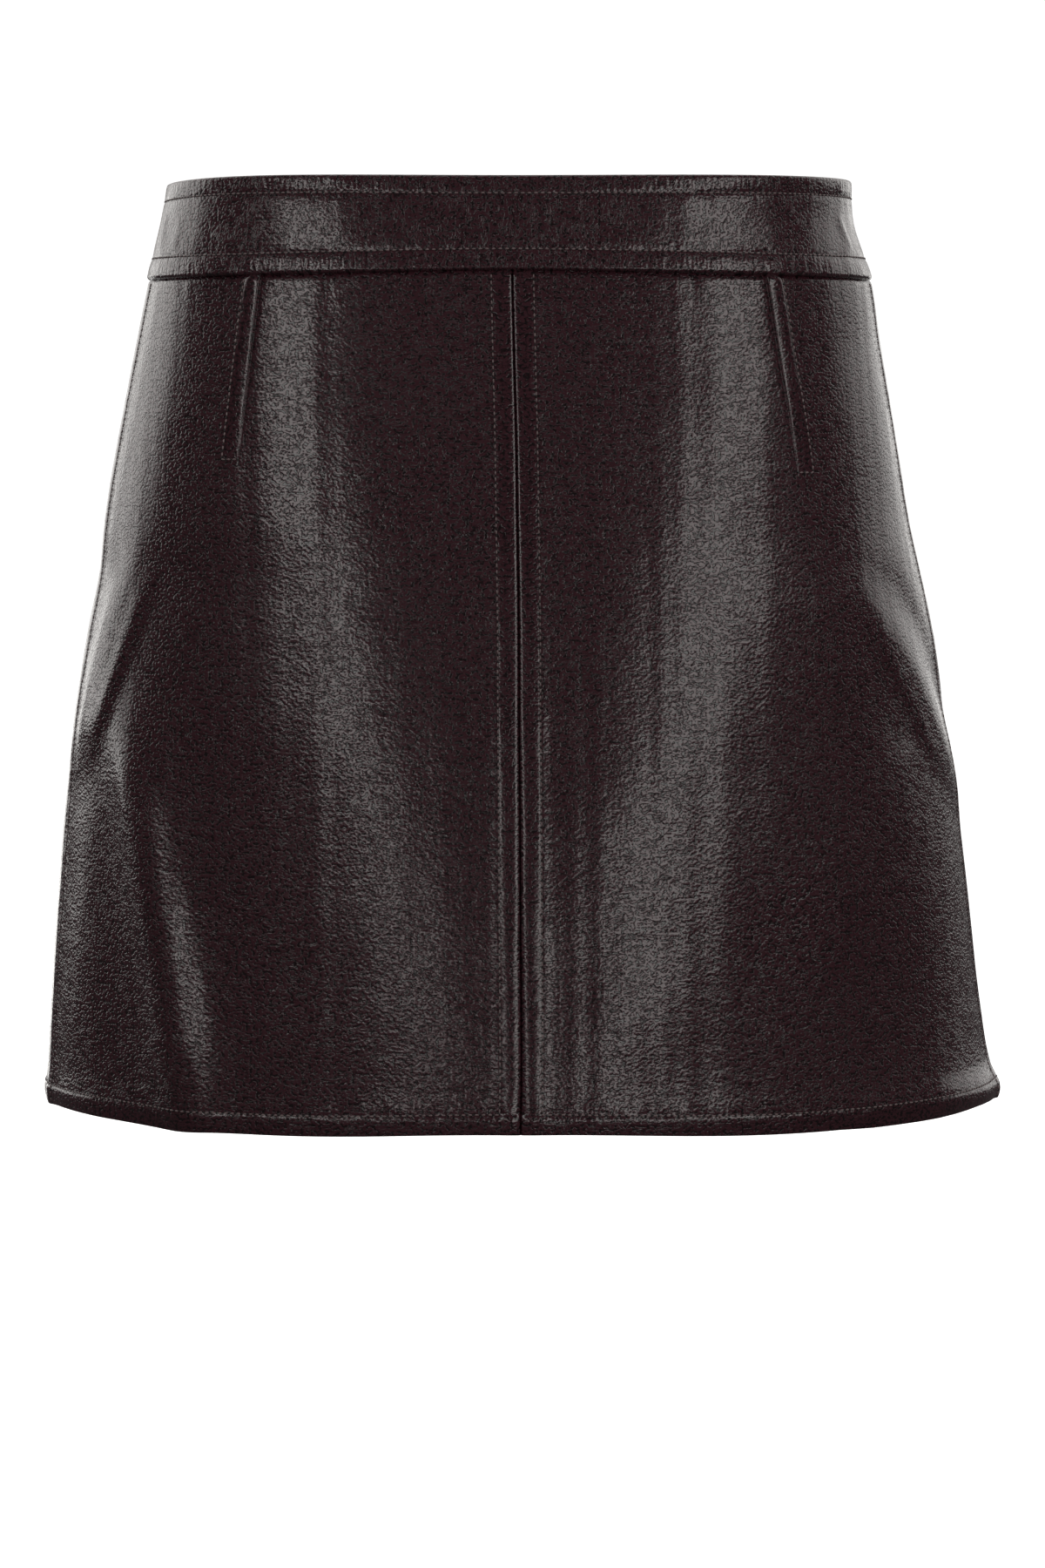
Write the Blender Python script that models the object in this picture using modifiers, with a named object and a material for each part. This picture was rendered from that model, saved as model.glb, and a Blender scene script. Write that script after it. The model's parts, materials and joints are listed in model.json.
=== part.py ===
"""A vinyl mini skirt as it is worn: a hollow A-line tube, open at the waist and at the hem.

It is cut as a waistband in three lengths, two front panels and two back panels. A seam runs down the centre
front, a dart shapes each panel under the waistband, and a zip closes the centre back.

Lengths are in millimetres until a mesh is made. A place on the cloth is an angle round the tube and a drop
below the waist edge. The angle is in degrees from the centre front, positive towards +X, and 180 at the centre
back. The front faces -Y, +Z is up, and the origin is in the middle of the waistband, where a waist holds it.
"""

import math
from bisect import bisect_right
from collections import namedtuple

import bmesh
import bpy
import numpy as np
from mathutils import Matrix, Vector

MM = 0.001
COLLECTION = "vinyl_mini_skirt"

# Driving sizes, in millimetres.
HEM_DROP = 362.5
WAIST_ABOVE_ORIGIN = 19.5
WAIST_DIP = 1.1
WAIST_SIDE_DIPS = {"left": 2.2, "right": 0.8}
BAND_SEAM_FRONT = 37.2
BAND_SEAM_SIDE = 39.5
WALL = 1.2
BAND_WALL_INSIDE = 1.4
HEM_SAG = 1.6
HEM_SIDE_RISES = {"left": 2.4, "right": 3.6}
HEM_TURN = 1.0
HEM_TURN_UP = 8.0
SEAM_GAP = 0.4
WAIST_SEAM_GAP = 0.55
CENTRE_FRONT_GAP = 0.7
ZIP_GAP = 1.9

# Where the seams and darts lie round the tube, in degrees.
SIDE_SEAM = 85.0
FRONT_DART = 52.2
BACK_DART = 130.0
DART_LENGTHS = {FRONT_DART: 76.0, BACK_DART: 94.0}

# How finely the walls are divided.
COLUMN_STEP = 6.6
ROW_STEP = 14.5

# The tube's sections. Left, right, front and back are its reaches from the axis, turn is how far its seams
# have swung round, in degrees, and square is 2 for an ellipse and more for a squarer ring.
Section = namedtuple("Section", "drop left right front back turn square")
SECTIONS = (
    Section(0, 132.3, 132.8, 87.0, 88.0, 0.8, 2.40),
    Section(16, 134.5, 132.9, 89.2, 90.8, 0.8, 2.40),
    Section(39, 140.1, 140.5, 92.5, 95.0, 0.9, 2.40),
    Section(66, 145.6, 144.8, 97.0, 101.5, 1.2, 2.38),
    Section(100, 152.5, 150.7, 103.0, 109.5, 1.6, 2.35),
    Section(134, 158.4, 156.1, 108.0, 116.5, 1.8, 2.33),
    Section(151, 160.1, 160.0, 110.2, 119.0, 1.9, 2.31),
    Section(177, 165.2, 165.6, 113.0, 122.0, 2.0, 2.29),
    Section(203, 169.6, 169.9, 115.2, 123.5, 2.0, 2.27),
    Section(237, 173.3, 174.7, 117.4, 124.0, 2.1, 2.25),
    Section(288, 177.9, 180.6, 119.4, 123.0, 2.2, 2.20),
    Section(323, 180.4, 184.8, 120.2, 122.0, 2.3, 2.18),
    Section(345, 181.4, 188.6, 120.4, 121.6, 2.3, 2.17),
    Section(356, 182.3, 192.2, 120.4, 121.5, 2.2, 2.16),
    Section(HEM_DROP, 181.4, 190.2, 120.0, 121.0, 2.2, 2.15),
)

# The largest folds, each a soft ridge from its top to its low end. Width is in degrees round the tube and
# height in millimetres, and a fold of negative height is a trough.
Fold = namedtuple("Fold", "name top_angle top_drop low_angle low_drop width height")
FOLDS = (
    Fold("left hip ridge", -71, 146, -79, 226, 4.5, 1.9),
    Fold("left hip trough", -63, 152, -71, 230, 5.0, -1.3),
    Fold("left side ridge", -64, 196, -53, 372, 5.0, 1.9),
    Fold("left side trough", -73, 236, -64, 372, 5.0, -1.2),
    Fold("right hip ridge", 61, 146, 81, 222, 4.5, 1.8),
    Fold("right hip trough", 69, 140, 88, 206, 4.5, -1.2),
    Fold("right high ridge", 55, 156, 55, 196, 4.0, 0.8),
    Fold("right middle ridge", 63, 218, 63, 256, 4.5, 0.9),
    Fold("right low ridge", 53, 250, 51, 304, 5.0, 1.1),
    Fold("right side ridge", 70, 262, 66, 372, 5.5, 1.1),
    Fold("back left hip ridge", -110, 144, -98, 214, 5.0, 1.8),
    Fold("back right hip ridge", 108, 152, 97, 222, 5.0, 1.8),
    Fold("back left seat ridge", -124, 206, -133, 372, 6.0, 1.7),
    Fold("back right seat ridge", 123, 216, 134, 372, 6.0, 1.8),
    Fold("back left low ridge", -152, 252, -150, 334, 6.0, 1.0),
    Fold("back right low ridge", 155, 270, 152, 352, 6.0, 1.0),
)

# Lines down the cloth. A column is at its angle, shifted along the cloth by a length towards a greater angle,
# and stands proud of the plain cloth. The proud of a dart's column fades out at the dart's end.
Column = namedtuple("Column", "name angle shift proud dart")
FRONT_COLUMNS = (
    Column("centre edge", 0, CENTRE_FRONT_GAP / 2, 0.25, False),
    Column("centre crown", 0, 3.5, 0.6, False),
    Column("centre stitch", 0, 8.0, 0.3, False),
    Column("centre inner", 0, 10.5, 0.0, False),
    Column("dart groove", FRONT_DART, -0.6, -0.1, True),
    Column("dart edge", FRONT_DART, 0.6, 1.1, True),
    Column("dart crown", FRONT_DART, 3.5, 1.3, True),
    Column("dart stitch", FRONT_DART, 7.0, 0.5, True),
    Column("dart outer", FRONT_DART, 9.5, 0.0, True),
    Column("side inner", SIDE_SEAM, -10.5, 0.0, False),
    Column("side stitch", SIDE_SEAM, -8.0, 0.4, False),
    Column("side crown", SIDE_SEAM, -4.0, 0.8, False),
    Column("side edge", SIDE_SEAM, -SEAM_GAP / 2, 0.6, False),
)
BACK_COLUMNS = (
    Column("side edge", SIDE_SEAM, SEAM_GAP / 2, 0.0, False),
    Column("dart outer", BACK_DART, -9.5, 0.0, True),
    Column("dart stitch", BACK_DART, -7.0, 0.5, True),
    Column("dart crown", BACK_DART, -3.5, 1.3, True),
    Column("dart edge", BACK_DART, -0.6, 1.1, True),
    Column("dart groove", BACK_DART, 0.6, -0.1, True),
    Column("centre inner", 180, -11.0, 0.0, False),
    Column("centre stitch", 180, -8.5, 0.3, False),
    Column("centre crown", 180, -4.0, 0.6, False),
    Column("zip edge", 180, -ZIP_GAP / 2, 0.3, False),
)
BAND_FRONT_COLUMNS = (
    Column("left end", -SIDE_SEAM, SEAM_GAP / 2, 0.0, False),
    Column("left end crown", -SIDE_SEAM, 3.0, 0.2, False),
    Column("centre", 0, 0.0, 0.0, False),
    Column("right end crown", SIDE_SEAM, -3.0, 0.2, False),
    Column("right end", SIDE_SEAM, -SEAM_GAP / 2, 0.0, False),
)
BAND_BACK_COLUMNS = (
    Column("side end", SIDE_SEAM, SEAM_GAP / 2, 0.0, False),
    Column("side end crown", SIDE_SEAM, 3.0, 0.2, False),
    Column("zip crown", 180, -4.0, 0.2, False),
    Column("zip end", 180, -ZIP_GAP / 2, 0.0, False),
)

# Lines round the cloth. A row is at its share of the way down the piece, shifted down by a length. It stands
# proud of the plain cloth, and inner is what it adds to the wall's inner side.
Row = namedtuple("Row", "name share shift proud inner")
PANEL_ROWS = (
    Row("waist seam", 0, WAIST_SEAM_GAP, 0.0, 0.0),
    Row("hem turn", 1, -HEM_TURN_UP - 2.0, 0.0, 0.0),
    Row("hem stitch", 1, -HEM_TURN_UP, 0.0, HEM_TURN),
    Row("hem crown", 1, -HEM_TURN_UP / 2, 0.4, HEM_TURN),
    Row("hem edge", 1, 0.0, 0.1, HEM_TURN),
)
BAND_ROWS = (
    Row("waist edge", 0, 0.0, 0.8, 0.0),
    Row("upper stitch", 0, 7.0, 1.1, 0.0),
    Row("middle", 0.5, 0.0, 1.5, 0.0),
    Row("lower stitch", 1, -8.0, 1.2, 0.0),
    Row("lower edge", 1, 0.0, 1.4, 0.0),
)

# The zip, in millimetres. Its pieces lie behind the cloth, but for the lug and the pull.
ZIP_DROP = 168.0
ZIP_CHAIN_DROP = 12.6
ZIP_TAPE_DROP = 2.0
ZIP_OPENING_FADE = 24.0
TAPE_HALF_WIDTH = 12.0
TAPE_INNER_EDGE = 3.2
TAPE_BEHIND = 2.0
TAPE_WALL = 0.8
CHAIN_HALF_WIDTH = 2.6
CHAIN_WALL = 1.8
SLIDER_SIZE = (5.4, 3.4, 8.6)
SLIDER_DROP = 7.6
LUG_WIDTH = 1.0
LUG_RADIUS = 1.75
LUG_HOLE_RADIUS = 0.95
LUG_OUT = 4.0
PULL_LENGTH = 16.0
PULL_TOP_HALF_WIDTH = 2.1
PULL_LOW_RADIUS = 2.8
PULL_WALL = 1.0
PULL_BAR = 1.1
PULL_EYE_HALF_WIDTH = 0.95
PULL_EYE_LENGTH = 1.9
PULL_LEAN = 5.0

Finish = namedtuple("Finish", "name colour roughness metallic")
VINYL = Finish("glossy_vinyl", (0.030, 0.018, 0.019), 0.22, 0.0)
TAPE = Finish("zip_tape", (0.022, 0.016, 0.016), 0.85, 0.0)
NYLON = Finish("zip_nylon", (0.020, 0.016, 0.016), 0.45, 0.0)
DARK_METAL = Finish("dark_metal", (0.060, 0.052, 0.050), 0.32, 1.0)

SECTION_DROPS = [row.drop for row in SECTIONS]
SECTION_SIZES = np.array([row[1:] for row in SECTIONS], dtype=float)
SECTION_SLOPES = np.gradient(SECTION_SIZES, SECTION_DROPS, axis=0)


def blend(start, end, share):
    """The value this share of the way from start to end."""
    return start + (end - start) * share


def ease(low, high, value):
    """0 below low, 1 above high, and a smooth rise between."""
    share = min(max((value - low) / (high - low), 0.0), 1.0)
    return share * share * (3.0 - 2.0 * share)


def section_at(drop):
    """The tube's reaches, turn and squareness at a drop, on smooth curves through SECTIONS."""
    low = min(max(bisect_right(SECTION_DROPS, drop) - 1, 0), len(SECTIONS) - 2)
    span = SECTION_DROPS[low + 1] - SECTION_DROPS[low]
    share = (drop - SECTION_DROPS[low]) / span
    rest = 1.0 - share
    ends = SECTION_SIZES[low] * (1.0 + 2.0 * share) * rest**2 + SECTION_SIZES[low + 1] * (1.0 + 2.0 * rest) * share**2
    slopes = SECTION_SLOPES[low] * share * rest**2 - SECTION_SLOPES[low + 1] * rest * share**2
    return ends + slopes * span


def plain_point(angle, drop):
    """A point of the tube before its folds and raised seams."""
    left, right, front, back, turn, square = section_at(drop)
    swung = math.radians(angle + turn)
    across = math.sin(swung)
    ahead = math.cos(swung)
    side = right if across > 0 else left
    depth = front if ahead > 0 else back
    ring = (abs(across / side) ** square + abs(ahead / depth) ** square) ** (-1.0 / square)
    return Vector((ring * across, -ring * ahead, WAIST_ABOVE_ORIGIN - drop))


def outward(angle, drop):
    """The tube's outward direction at a place."""
    along = plain_point(angle + 0.5, drop) - plain_point(angle - 0.5, drop)
    down = plain_point(angle, drop + 1.0) - plain_point(angle, drop - 1.0)
    return down.cross(along).normalized()


def length_per_degree(angle, drop):
    """The length of cloth that one degree spans at a place."""
    return (plain_point(angle + 0.5, drop) - plain_point(angle - 0.5, drop)).length


def fold_height(angle, drop):
    """How far the folds lift the cloth at a place."""
    height = 0.0
    for fold in FOLDS:
        share = (drop - fold.top_drop) / (fold.low_drop - fold.top_drop)
        off_ridge = (angle - blend(fold.top_angle, fold.low_angle, share)) / fold.width
        along = ease(-0.2, 0.25, share) * (1.0 - ease(0.75, 1.2, share))
        height += fold.height * along * math.exp(-(off_ridge**2))
    return height


def waist_edge(angle):
    """The drop of the waistband's upper edge, which dips a little at the front, the back and the sides."""
    across = math.sin(math.radians(angle))
    side_dip = WAIST_SIDE_DIPS["right" if across > 0 else "left"]
    return WAIST_DIP * (1.0 - across**2) + side_dip * across**12


def waist_seam(angle):
    """The drop of the seam under the waistband, which is lowest at the sides."""
    return blend(BAND_SEAM_FRONT, BAND_SEAM_SIDE, math.sin(math.radians(angle)) ** 2)


def hem_edge(angle):
    """The drop of the hem, which sags between the centres and the sides and rises at the sides."""
    across = math.sin(math.radians(angle))
    sag = HEM_SAG * math.sin(math.radians(2.0 * angle)) ** 2
    return HEM_DROP + sag - HEM_SIDE_RISES["right" if across > 0 else "left"] * across**8


def dart_share(column, drop):
    """How much of a dart's height is left at a drop."""
    if not column.dart:
        return 1.0
    dart = min(DART_LENGTHS, key=lambda angle: abs(abs(column.angle) - angle))
    below_seam = drop - waist_seam(column.angle)
    return max(0.0, 1.0 - below_seam / DART_LENGTHS[dart]) ** 0.6


def zip_edge_shift(column, drop):
    """A column's shift, which closes up to a plain seam under the end of the zip."""
    if column.name != "zip edge":
        return column.shift
    closed = ease(ZIP_DROP - ZIP_OPENING_FADE, ZIP_DROP, drop)
    return math.copysign(blend(ZIP_GAP, SEAM_GAP, closed) / 2, column.shift)


def filled_columns(keys):
    """The key columns, with plain ones set evenly between those that are far apart."""
    columns = [keys[0]]
    for near, far in zip(keys, keys[1:]):
        count = max(1, math.ceil(abs(far.angle - near.angle) / COLUMN_STEP))
        for i in range(1, count):
            angle = blend(near.angle, far.angle, i / count)
            shift = blend(near.shift, far.shift, i / count)
            columns.append(Column("plain", angle, shift, 0.0, False))
        columns.append(far)
    return columns


def filled_rows(keys, height):
    """The key rows, with more set evenly between those that are far apart."""
    rows = [keys[0]]
    for near, far in zip(keys, keys[1:]):
        span = (far.share - near.share) * height + far.shift - near.shift
        count = max(1, math.ceil(span / ROW_STEP))
        for i in range(1, count):
            values = [blend(near_value, far_value, i / count) for near_value, far_value in zip(near[1:], far[1:])]
            rows.append(Row("plain", *values))
        rows.append(far)
    return rows


def mirrored(columns):
    """The same columns on the other side of the centre line."""
    return [column._replace(angle=-column.angle, shift=-column.shift) for column in reversed(columns)]


def cloth_point(column, row, top, bottom):
    """A point of a piece's outer face, and how far that point stands proud of the plain cloth."""
    drop = blend(top(column.angle), bottom(column.angle), row.share) + row.shift
    shift = zip_edge_shift(column, drop)
    angle = column.angle + shift / length_per_degree(column.angle, drop)
    proud = row.proud + column.proud * dart_share(column, drop)
    lift = proud + fold_height(angle, drop)
    return plain_point(angle, drop) + outward(angle, drop) * lift, proud


def principled(finish):
    """The material of a finish, made once."""
    material = bpy.data.materials.get(finish.name)
    if material is None:
        material = bpy.data.materials.new(finish.name)
        material.use_nodes = True
        shader = material.node_tree.nodes["Principled BSDF"]
        shader.inputs["Base Color"].default_value = (*finish.colour, 1.0)
        shader.inputs["Roughness"].default_value = finish.roughness
        shader.inputs["Metallic"].default_value = finish.metallic
    return material


def add_object(name, data, finish, collection):
    """A new object of a mesh or curve, with its finish, in a collection."""
    obj = bpy.data.objects.new(name, data)
    data.materials.append(principled(finish))
    collection.objects.link(obj)
    return obj


def add_wall(name, columns, rows, top, bottom, inside, finish, collection):
    """A piece of cloth: a sheet through the columns and rows, thickened inwards to a plain inner side."""
    columns = filled_columns(columns)
    rows = filled_rows(rows, bottom(0.0) - top(0.0))
    mesh = bpy.data.meshes.new(name)
    shape = bmesh.new()
    bmesh.ops.create_grid(shape, x_segments=len(columns) - 1, y_segments=len(rows) - 1, size=0.5)
    walls = {}
    for vertex in shape.verts:
        column = columns[round((vertex.co.x + 0.5) * (len(columns) - 1))]
        row = rows[round((0.5 - vertex.co.y) * (len(rows) - 1))]
        point, proud = cloth_point(column, row, top, bottom)
        vertex.co = point * MM
        walls[vertex.index] = inside + proud + row.inner
    shape.to_mesh(mesh)
    shape.free()
    mesh.shade_smooth()
    obj = add_object(name, mesh, finish, collection)
    thickest = max(walls.values())
    group = obj.vertex_groups.new(name="wall")
    for index, wall in walls.items():
        group.add([index], wall / thickest, "REPLACE")
    solidify = obj.modifiers.new("wall", "SOLIDIFY")
    solidify.thickness = thickest * MM
    solidify.offset = -1.0
    solidify.vertex_group = group.name
    return obj


def add_waistband(collection):
    """The front length and the two back lengths of the waistband."""
    for name, columns in (
        ("waistband_front", BAND_FRONT_COLUMNS),
        ("waistband_back_right", BAND_BACK_COLUMNS),
        ("waistband_back_left", mirrored(BAND_BACK_COLUMNS)),
    ):
        add_wall(name, columns, BAND_ROWS, waist_edge, waist_seam, BAND_WALL_INSIDE, VINYL, collection)


def add_panels(collection):
    """The two front panels and the two back panels."""
    for name, columns in (
        ("front_panel_right", FRONT_COLUMNS),
        ("front_panel_left", mirrored(FRONT_COLUMNS)),
        ("back_panel_right", BACK_COLUMNS),
        ("back_panel_left", mirrored(BACK_COLUMNS)),
    ):
        add_wall(name, columns, PANEL_ROWS, waist_seam, hem_edge, WALL, VINYL, collection)


def add_zip_strip(name, start, end, behind, wall, top_drop, finish, collection):
    """A strip of the zip behind the centre back, from start to end along the cloth."""
    columns = [Column("strip", 180, shift, -behind, False) for shift in (start, blend(start, end, 0.5), end)]
    rows = (Row("upper end", 0, 0.0, 0.0, 0.0), Row("lower end", 1, 0.0, 0.0, 0.0))
    add_wall(name, columns, rows, lambda angle: top_drop, lambda angle: ZIP_DROP, behind + wall, finish, collection)


def zip_frame():
    """The frame of the slider: X across the zip, Y out of the cloth and Z up along it."""
    out = outward(180.0, SLIDER_DROP)
    lean = math.atan2(out.z, out.y)
    return Matrix.Translation(plain_point(180.0, SLIDER_DROP) * MM) @ Matrix.Rotation(lean, 4, "X")


def add_tool(name, shape, collection):
    """A helper that a Boolean joins to the slider or cuts from it, and that no picture shows."""
    mesh = bpy.data.meshes.new(name)
    shape.to_mesh(mesh)
    shape.free()
    obj = bpy.data.objects.new(name, mesh)
    obj.hide_render = True
    obj.display_type = "WIRE"
    collection.objects.link(obj)
    return obj


def box_shape(size, centre):
    """A box of a size round a centre, in millimetres."""
    shape = bmesh.new()
    place = Matrix.Translation(Vector(centre) * MM) @ Matrix.Diagonal((*(Vector(size) * MM), 1.0))
    bmesh.ops.create_cube(shape, size=1.0, matrix=place)
    return shape


def round_shape(radius, width, centre):
    """A short round bar along X, in millimetres."""
    shape = bmesh.new()
    place = Matrix.Translation(Vector(centre) * MM) @ Matrix.Rotation(math.pi / 2, 4, "Y")
    bmesh.ops.create_cone(
        shape, cap_ends=True, segments=20, radius1=radius * MM, radius2=radius * MM, depth=width * MM, matrix=place
    )
    return shape


def add_slider(collection, tools):
    """The slider behind the zip's gap, with a lug that comes out of the gap and carries the pull."""
    place = zip_frame()
    body_middle = -TAPE_BEHIND - SLIDER_SIZE[1] / 2
    mesh = bpy.data.meshes.new("zip_slider")
    shape = box_shape(SLIDER_SIZE, (0.0, body_middle, 0.0))
    bmesh.ops.bevel(
        shape, geom=shape.edges[:], offset=0.6 * MM, segments=2, profile=0.5, affect="EDGES", material=-1
    )
    shape.to_mesh(mesh)
    shape.free()
    slider = add_object("zip_slider", mesh, DARK_METAL, collection)
    slider.matrix_world = place
    neck_length = LUG_OUT - body_middle
    neck = box_shape((LUG_WIDTH, neck_length, 2.0), (0.0, LUG_OUT - neck_length / 2, 0.0))
    for name, tool_shape, operation in (
        ("slider_neck", neck, "UNION"),
        ("slider_lug", round_shape(LUG_RADIUS, LUG_WIDTH, (0.0, LUG_OUT, 0.0)), "UNION"),
        ("slider_lug_hole", round_shape(LUG_HOLE_RADIUS, LUG_WIDTH * 3, (0.0, LUG_OUT, 0.0)), "DIFFERENCE"),
    ):
        tool = add_tool(name, tool_shape, tools)
        tool.matrix_world = place
        boolean = slider.modifiers.new(name, "BOOLEAN")
        boolean.operation = operation
        boolean.object = tool


def add_outline(curve, points):
    """A closed run of straight lines through points, in millimetres."""
    spline = curve.splines.new("POLY")
    spline.points.add(len(points) - 1)
    for spot, (x, y) in zip(spline.points, points):
        spot.co = (x * MM, y * MM, 0.0, 1.0)
    spline.use_cyclic_u = True


def arc(centre_y, radius, start, end, count):
    """Points on an arc about a centre on the pull's middle line."""
    return [
        (radius * math.cos(math.radians(turn)), centre_y + radius * math.sin(math.radians(turn)))
        for turn in (blend(start, end, i / count) for i in range(count + 1))
    ]


def add_pull(collection):
    """The pull: a flat drop with an eye at its top, whose upper bar turns in the lug's hole."""
    curve = bpy.data.curves.new("zip_pull", "CURVE")
    curve.dimensions = "2D"
    curve.fill_mode = "BOTH"
    curve.extrude = PULL_WALL / 2 * MM
    top = PULL_BAR / 2
    low_centre = PULL_LOW_RADIUS - PULL_LENGTH
    shoulder = top - 0.8
    add_outline(
        curve,
        arc(low_centre, PULL_LOW_RADIUS, 180.0, 360.0, 14)
        + [(PULL_TOP_HALF_WIDTH, shoulder), (PULL_TOP_HALF_WIDTH - 0.8, top)]
        + [(0.8 - PULL_TOP_HALF_WIDTH, top), (-PULL_TOP_HALF_WIDTH, shoulder)],
    )
    eye_top = -PULL_BAR / 2
    eye_low = eye_top - PULL_EYE_LENGTH
    add_outline(
        curve,
        [
            (-PULL_EYE_HALF_WIDTH, eye_top),
            (PULL_EYE_HALF_WIDTH, eye_top),
            (PULL_EYE_HALF_WIDTH, eye_low),
            (-PULL_EYE_HALF_WIDTH, eye_low),
        ],
    )
    pull = add_object("zip_pull", curve, DARK_METAL, collection)
    upright = Matrix.Rotation(math.pi / 2 - math.radians(PULL_LEAN), 4, "X")
    pull.matrix_world = zip_frame() @ Matrix.Translation((0.0, LUG_OUT * MM, 0.0)) @ upright


def add_zip(collection, tools):
    """The tapes, chain, slider and pull at the centre back."""
    for name, start, end in (
        ("zip_tape_left", TAPE_INNER_EDGE, TAPE_HALF_WIDTH),
        ("zip_tape_right", -TAPE_HALF_WIDTH, -TAPE_INNER_EDGE),
    ):
        add_zip_strip(name, start, end, TAPE_BEHIND, TAPE_WALL, ZIP_TAPE_DROP, TAPE, collection)
    add_zip_strip(
        "zip_chain", -CHAIN_HALF_WIDTH, CHAIN_HALF_WIDTH, TAPE_BEHIND, CHAIN_WALL, ZIP_CHAIN_DROP, NYLON, collection
    )
    add_slider(collection, tools)
    add_pull(collection)


def main():
    for obj in list(bpy.data.objects):
        bpy.data.objects.remove(obj, do_unlink=True)
    skirt = bpy.data.collections.new(COLLECTION)
    tools = bpy.data.collections.new(COLLECTION + "_cutters")
    bpy.context.scene.collection.children.link(skirt)
    bpy.context.scene.collection.children.link(tools)
    add_waistband(skirt)
    add_panels(skirt)
    add_zip(skirt, tools)


if __name__ == "__main__":
    main()
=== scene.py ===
"""The finished look of a glossy vinyl mini skirt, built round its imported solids.

The skirt is worn: a hollow A-line tube, open at the waist and at the hem. Lengths are in millimetres until a mesh
is made. A place on the cloth is an angle round the skirt and a drop below the waist edge. The angle is in degrees
from the centre front, positive towards +X, and 180 at the centre back. The front faces -Y and +Z is up.
"""

from __future__ import annotations

import json
import logging
import math
from collections.abc import Iterable, Iterator, Sequence
from dataclasses import dataclass, field
from enum import Enum
from functools import partial
from typing import ClassVar

import bmesh
import bpy
import numpy as np
from mathutils import Matrix, Vector

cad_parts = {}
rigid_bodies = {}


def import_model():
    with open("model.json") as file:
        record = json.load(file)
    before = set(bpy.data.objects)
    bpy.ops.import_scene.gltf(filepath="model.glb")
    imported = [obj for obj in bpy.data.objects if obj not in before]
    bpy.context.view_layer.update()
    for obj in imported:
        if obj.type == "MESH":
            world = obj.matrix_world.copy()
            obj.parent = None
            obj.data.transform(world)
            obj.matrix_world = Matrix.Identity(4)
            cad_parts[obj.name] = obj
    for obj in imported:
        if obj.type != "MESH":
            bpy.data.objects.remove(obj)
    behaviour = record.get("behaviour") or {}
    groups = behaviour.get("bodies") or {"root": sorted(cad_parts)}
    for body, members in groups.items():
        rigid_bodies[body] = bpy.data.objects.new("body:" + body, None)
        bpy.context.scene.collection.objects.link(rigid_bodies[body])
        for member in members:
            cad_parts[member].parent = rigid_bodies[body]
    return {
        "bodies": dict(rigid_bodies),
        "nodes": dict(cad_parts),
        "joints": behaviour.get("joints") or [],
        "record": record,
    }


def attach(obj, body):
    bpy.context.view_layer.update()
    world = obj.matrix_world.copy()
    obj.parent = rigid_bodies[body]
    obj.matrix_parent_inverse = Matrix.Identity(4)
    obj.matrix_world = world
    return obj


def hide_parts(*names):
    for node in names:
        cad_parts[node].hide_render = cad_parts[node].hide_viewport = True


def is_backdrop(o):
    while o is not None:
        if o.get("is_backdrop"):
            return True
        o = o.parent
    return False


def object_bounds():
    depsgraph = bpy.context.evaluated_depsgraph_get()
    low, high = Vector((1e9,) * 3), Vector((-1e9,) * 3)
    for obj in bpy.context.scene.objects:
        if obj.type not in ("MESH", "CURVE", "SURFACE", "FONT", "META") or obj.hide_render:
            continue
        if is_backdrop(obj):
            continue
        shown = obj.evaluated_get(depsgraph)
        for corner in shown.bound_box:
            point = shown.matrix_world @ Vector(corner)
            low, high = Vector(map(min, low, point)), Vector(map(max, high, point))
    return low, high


LOG = logging.getLogger("vinyl_mini_skirt")
MM = 0.001
UV_NAME = "UVMap"
GRAIN_NAME = "grain"
PRESSED = "pressed"
GATHERED_ACROSS = "gathered_across"
GATHERED_DOWN = "gathered_down"

# The cut, in millimetres and degrees.
HEM_DROP = 362.5
WAIST_ABOVE_ORIGIN = 19.5
WAIST_DIP = 1.1
WAIST_SIDE_DIPS = (0.8, 2.2)  # On the right and on the left.
HEM_SIDE_RISES = (3.6, 2.4)
BAND_SEAM_FRONT = 37.2
BAND_SEAM_SIDE = 39.5
HEM_SAG = 1.6
SIDE_SEAM = 85.0
BACK = 180.0
ZIP_DROP = 168.0
ZIP_GAP = 1.9
ZIP_OPENING_FADE = 24.0

# The sewing, in millimetres.
STITCH_PITCH = 2.5
FRONT_STITCH = 8.0
SIDE_STITCH = 8.0
DART_STITCH = 7.0
ZIP_STITCH = 8.5
ZIP_ROW = ZIP_STITCH + 0.6
HEM_STITCH = 8.0
BAND_UPPER_STITCH = 7.0
BAND_LOWER_STITCH = 8.0
ALLOWANCE = 10.5
HEM_ALLOWANCE = 10.0
ALLOWANCE_EDGE = 0.3
HEM_ROW_POINTS = 260


class Side(Enum):
    """The viewer's side of the skirt, looking at its front."""

    LEFT = -1
    RIGHT = 1

    @property
    def word(self) -> str:
        """The side as a piece's name says it."""
        return self.name.lower()


@dataclass(frozen=True)
class Section:
    """A level ring of the tube: its reaches from the axis, its seams' swing in degrees and its squareness."""

    drop: float
    left: float
    right: float
    front: float
    back: float
    turn: float
    square: float


@dataclass(frozen=True)
class Fold:
    """A main fold of the cloth, from its top to its low end. Its width is in degrees, its height in mm."""

    top_angle: float
    top_drop: float
    low_angle: float
    low_drop: float
    width: float
    height: float


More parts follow.
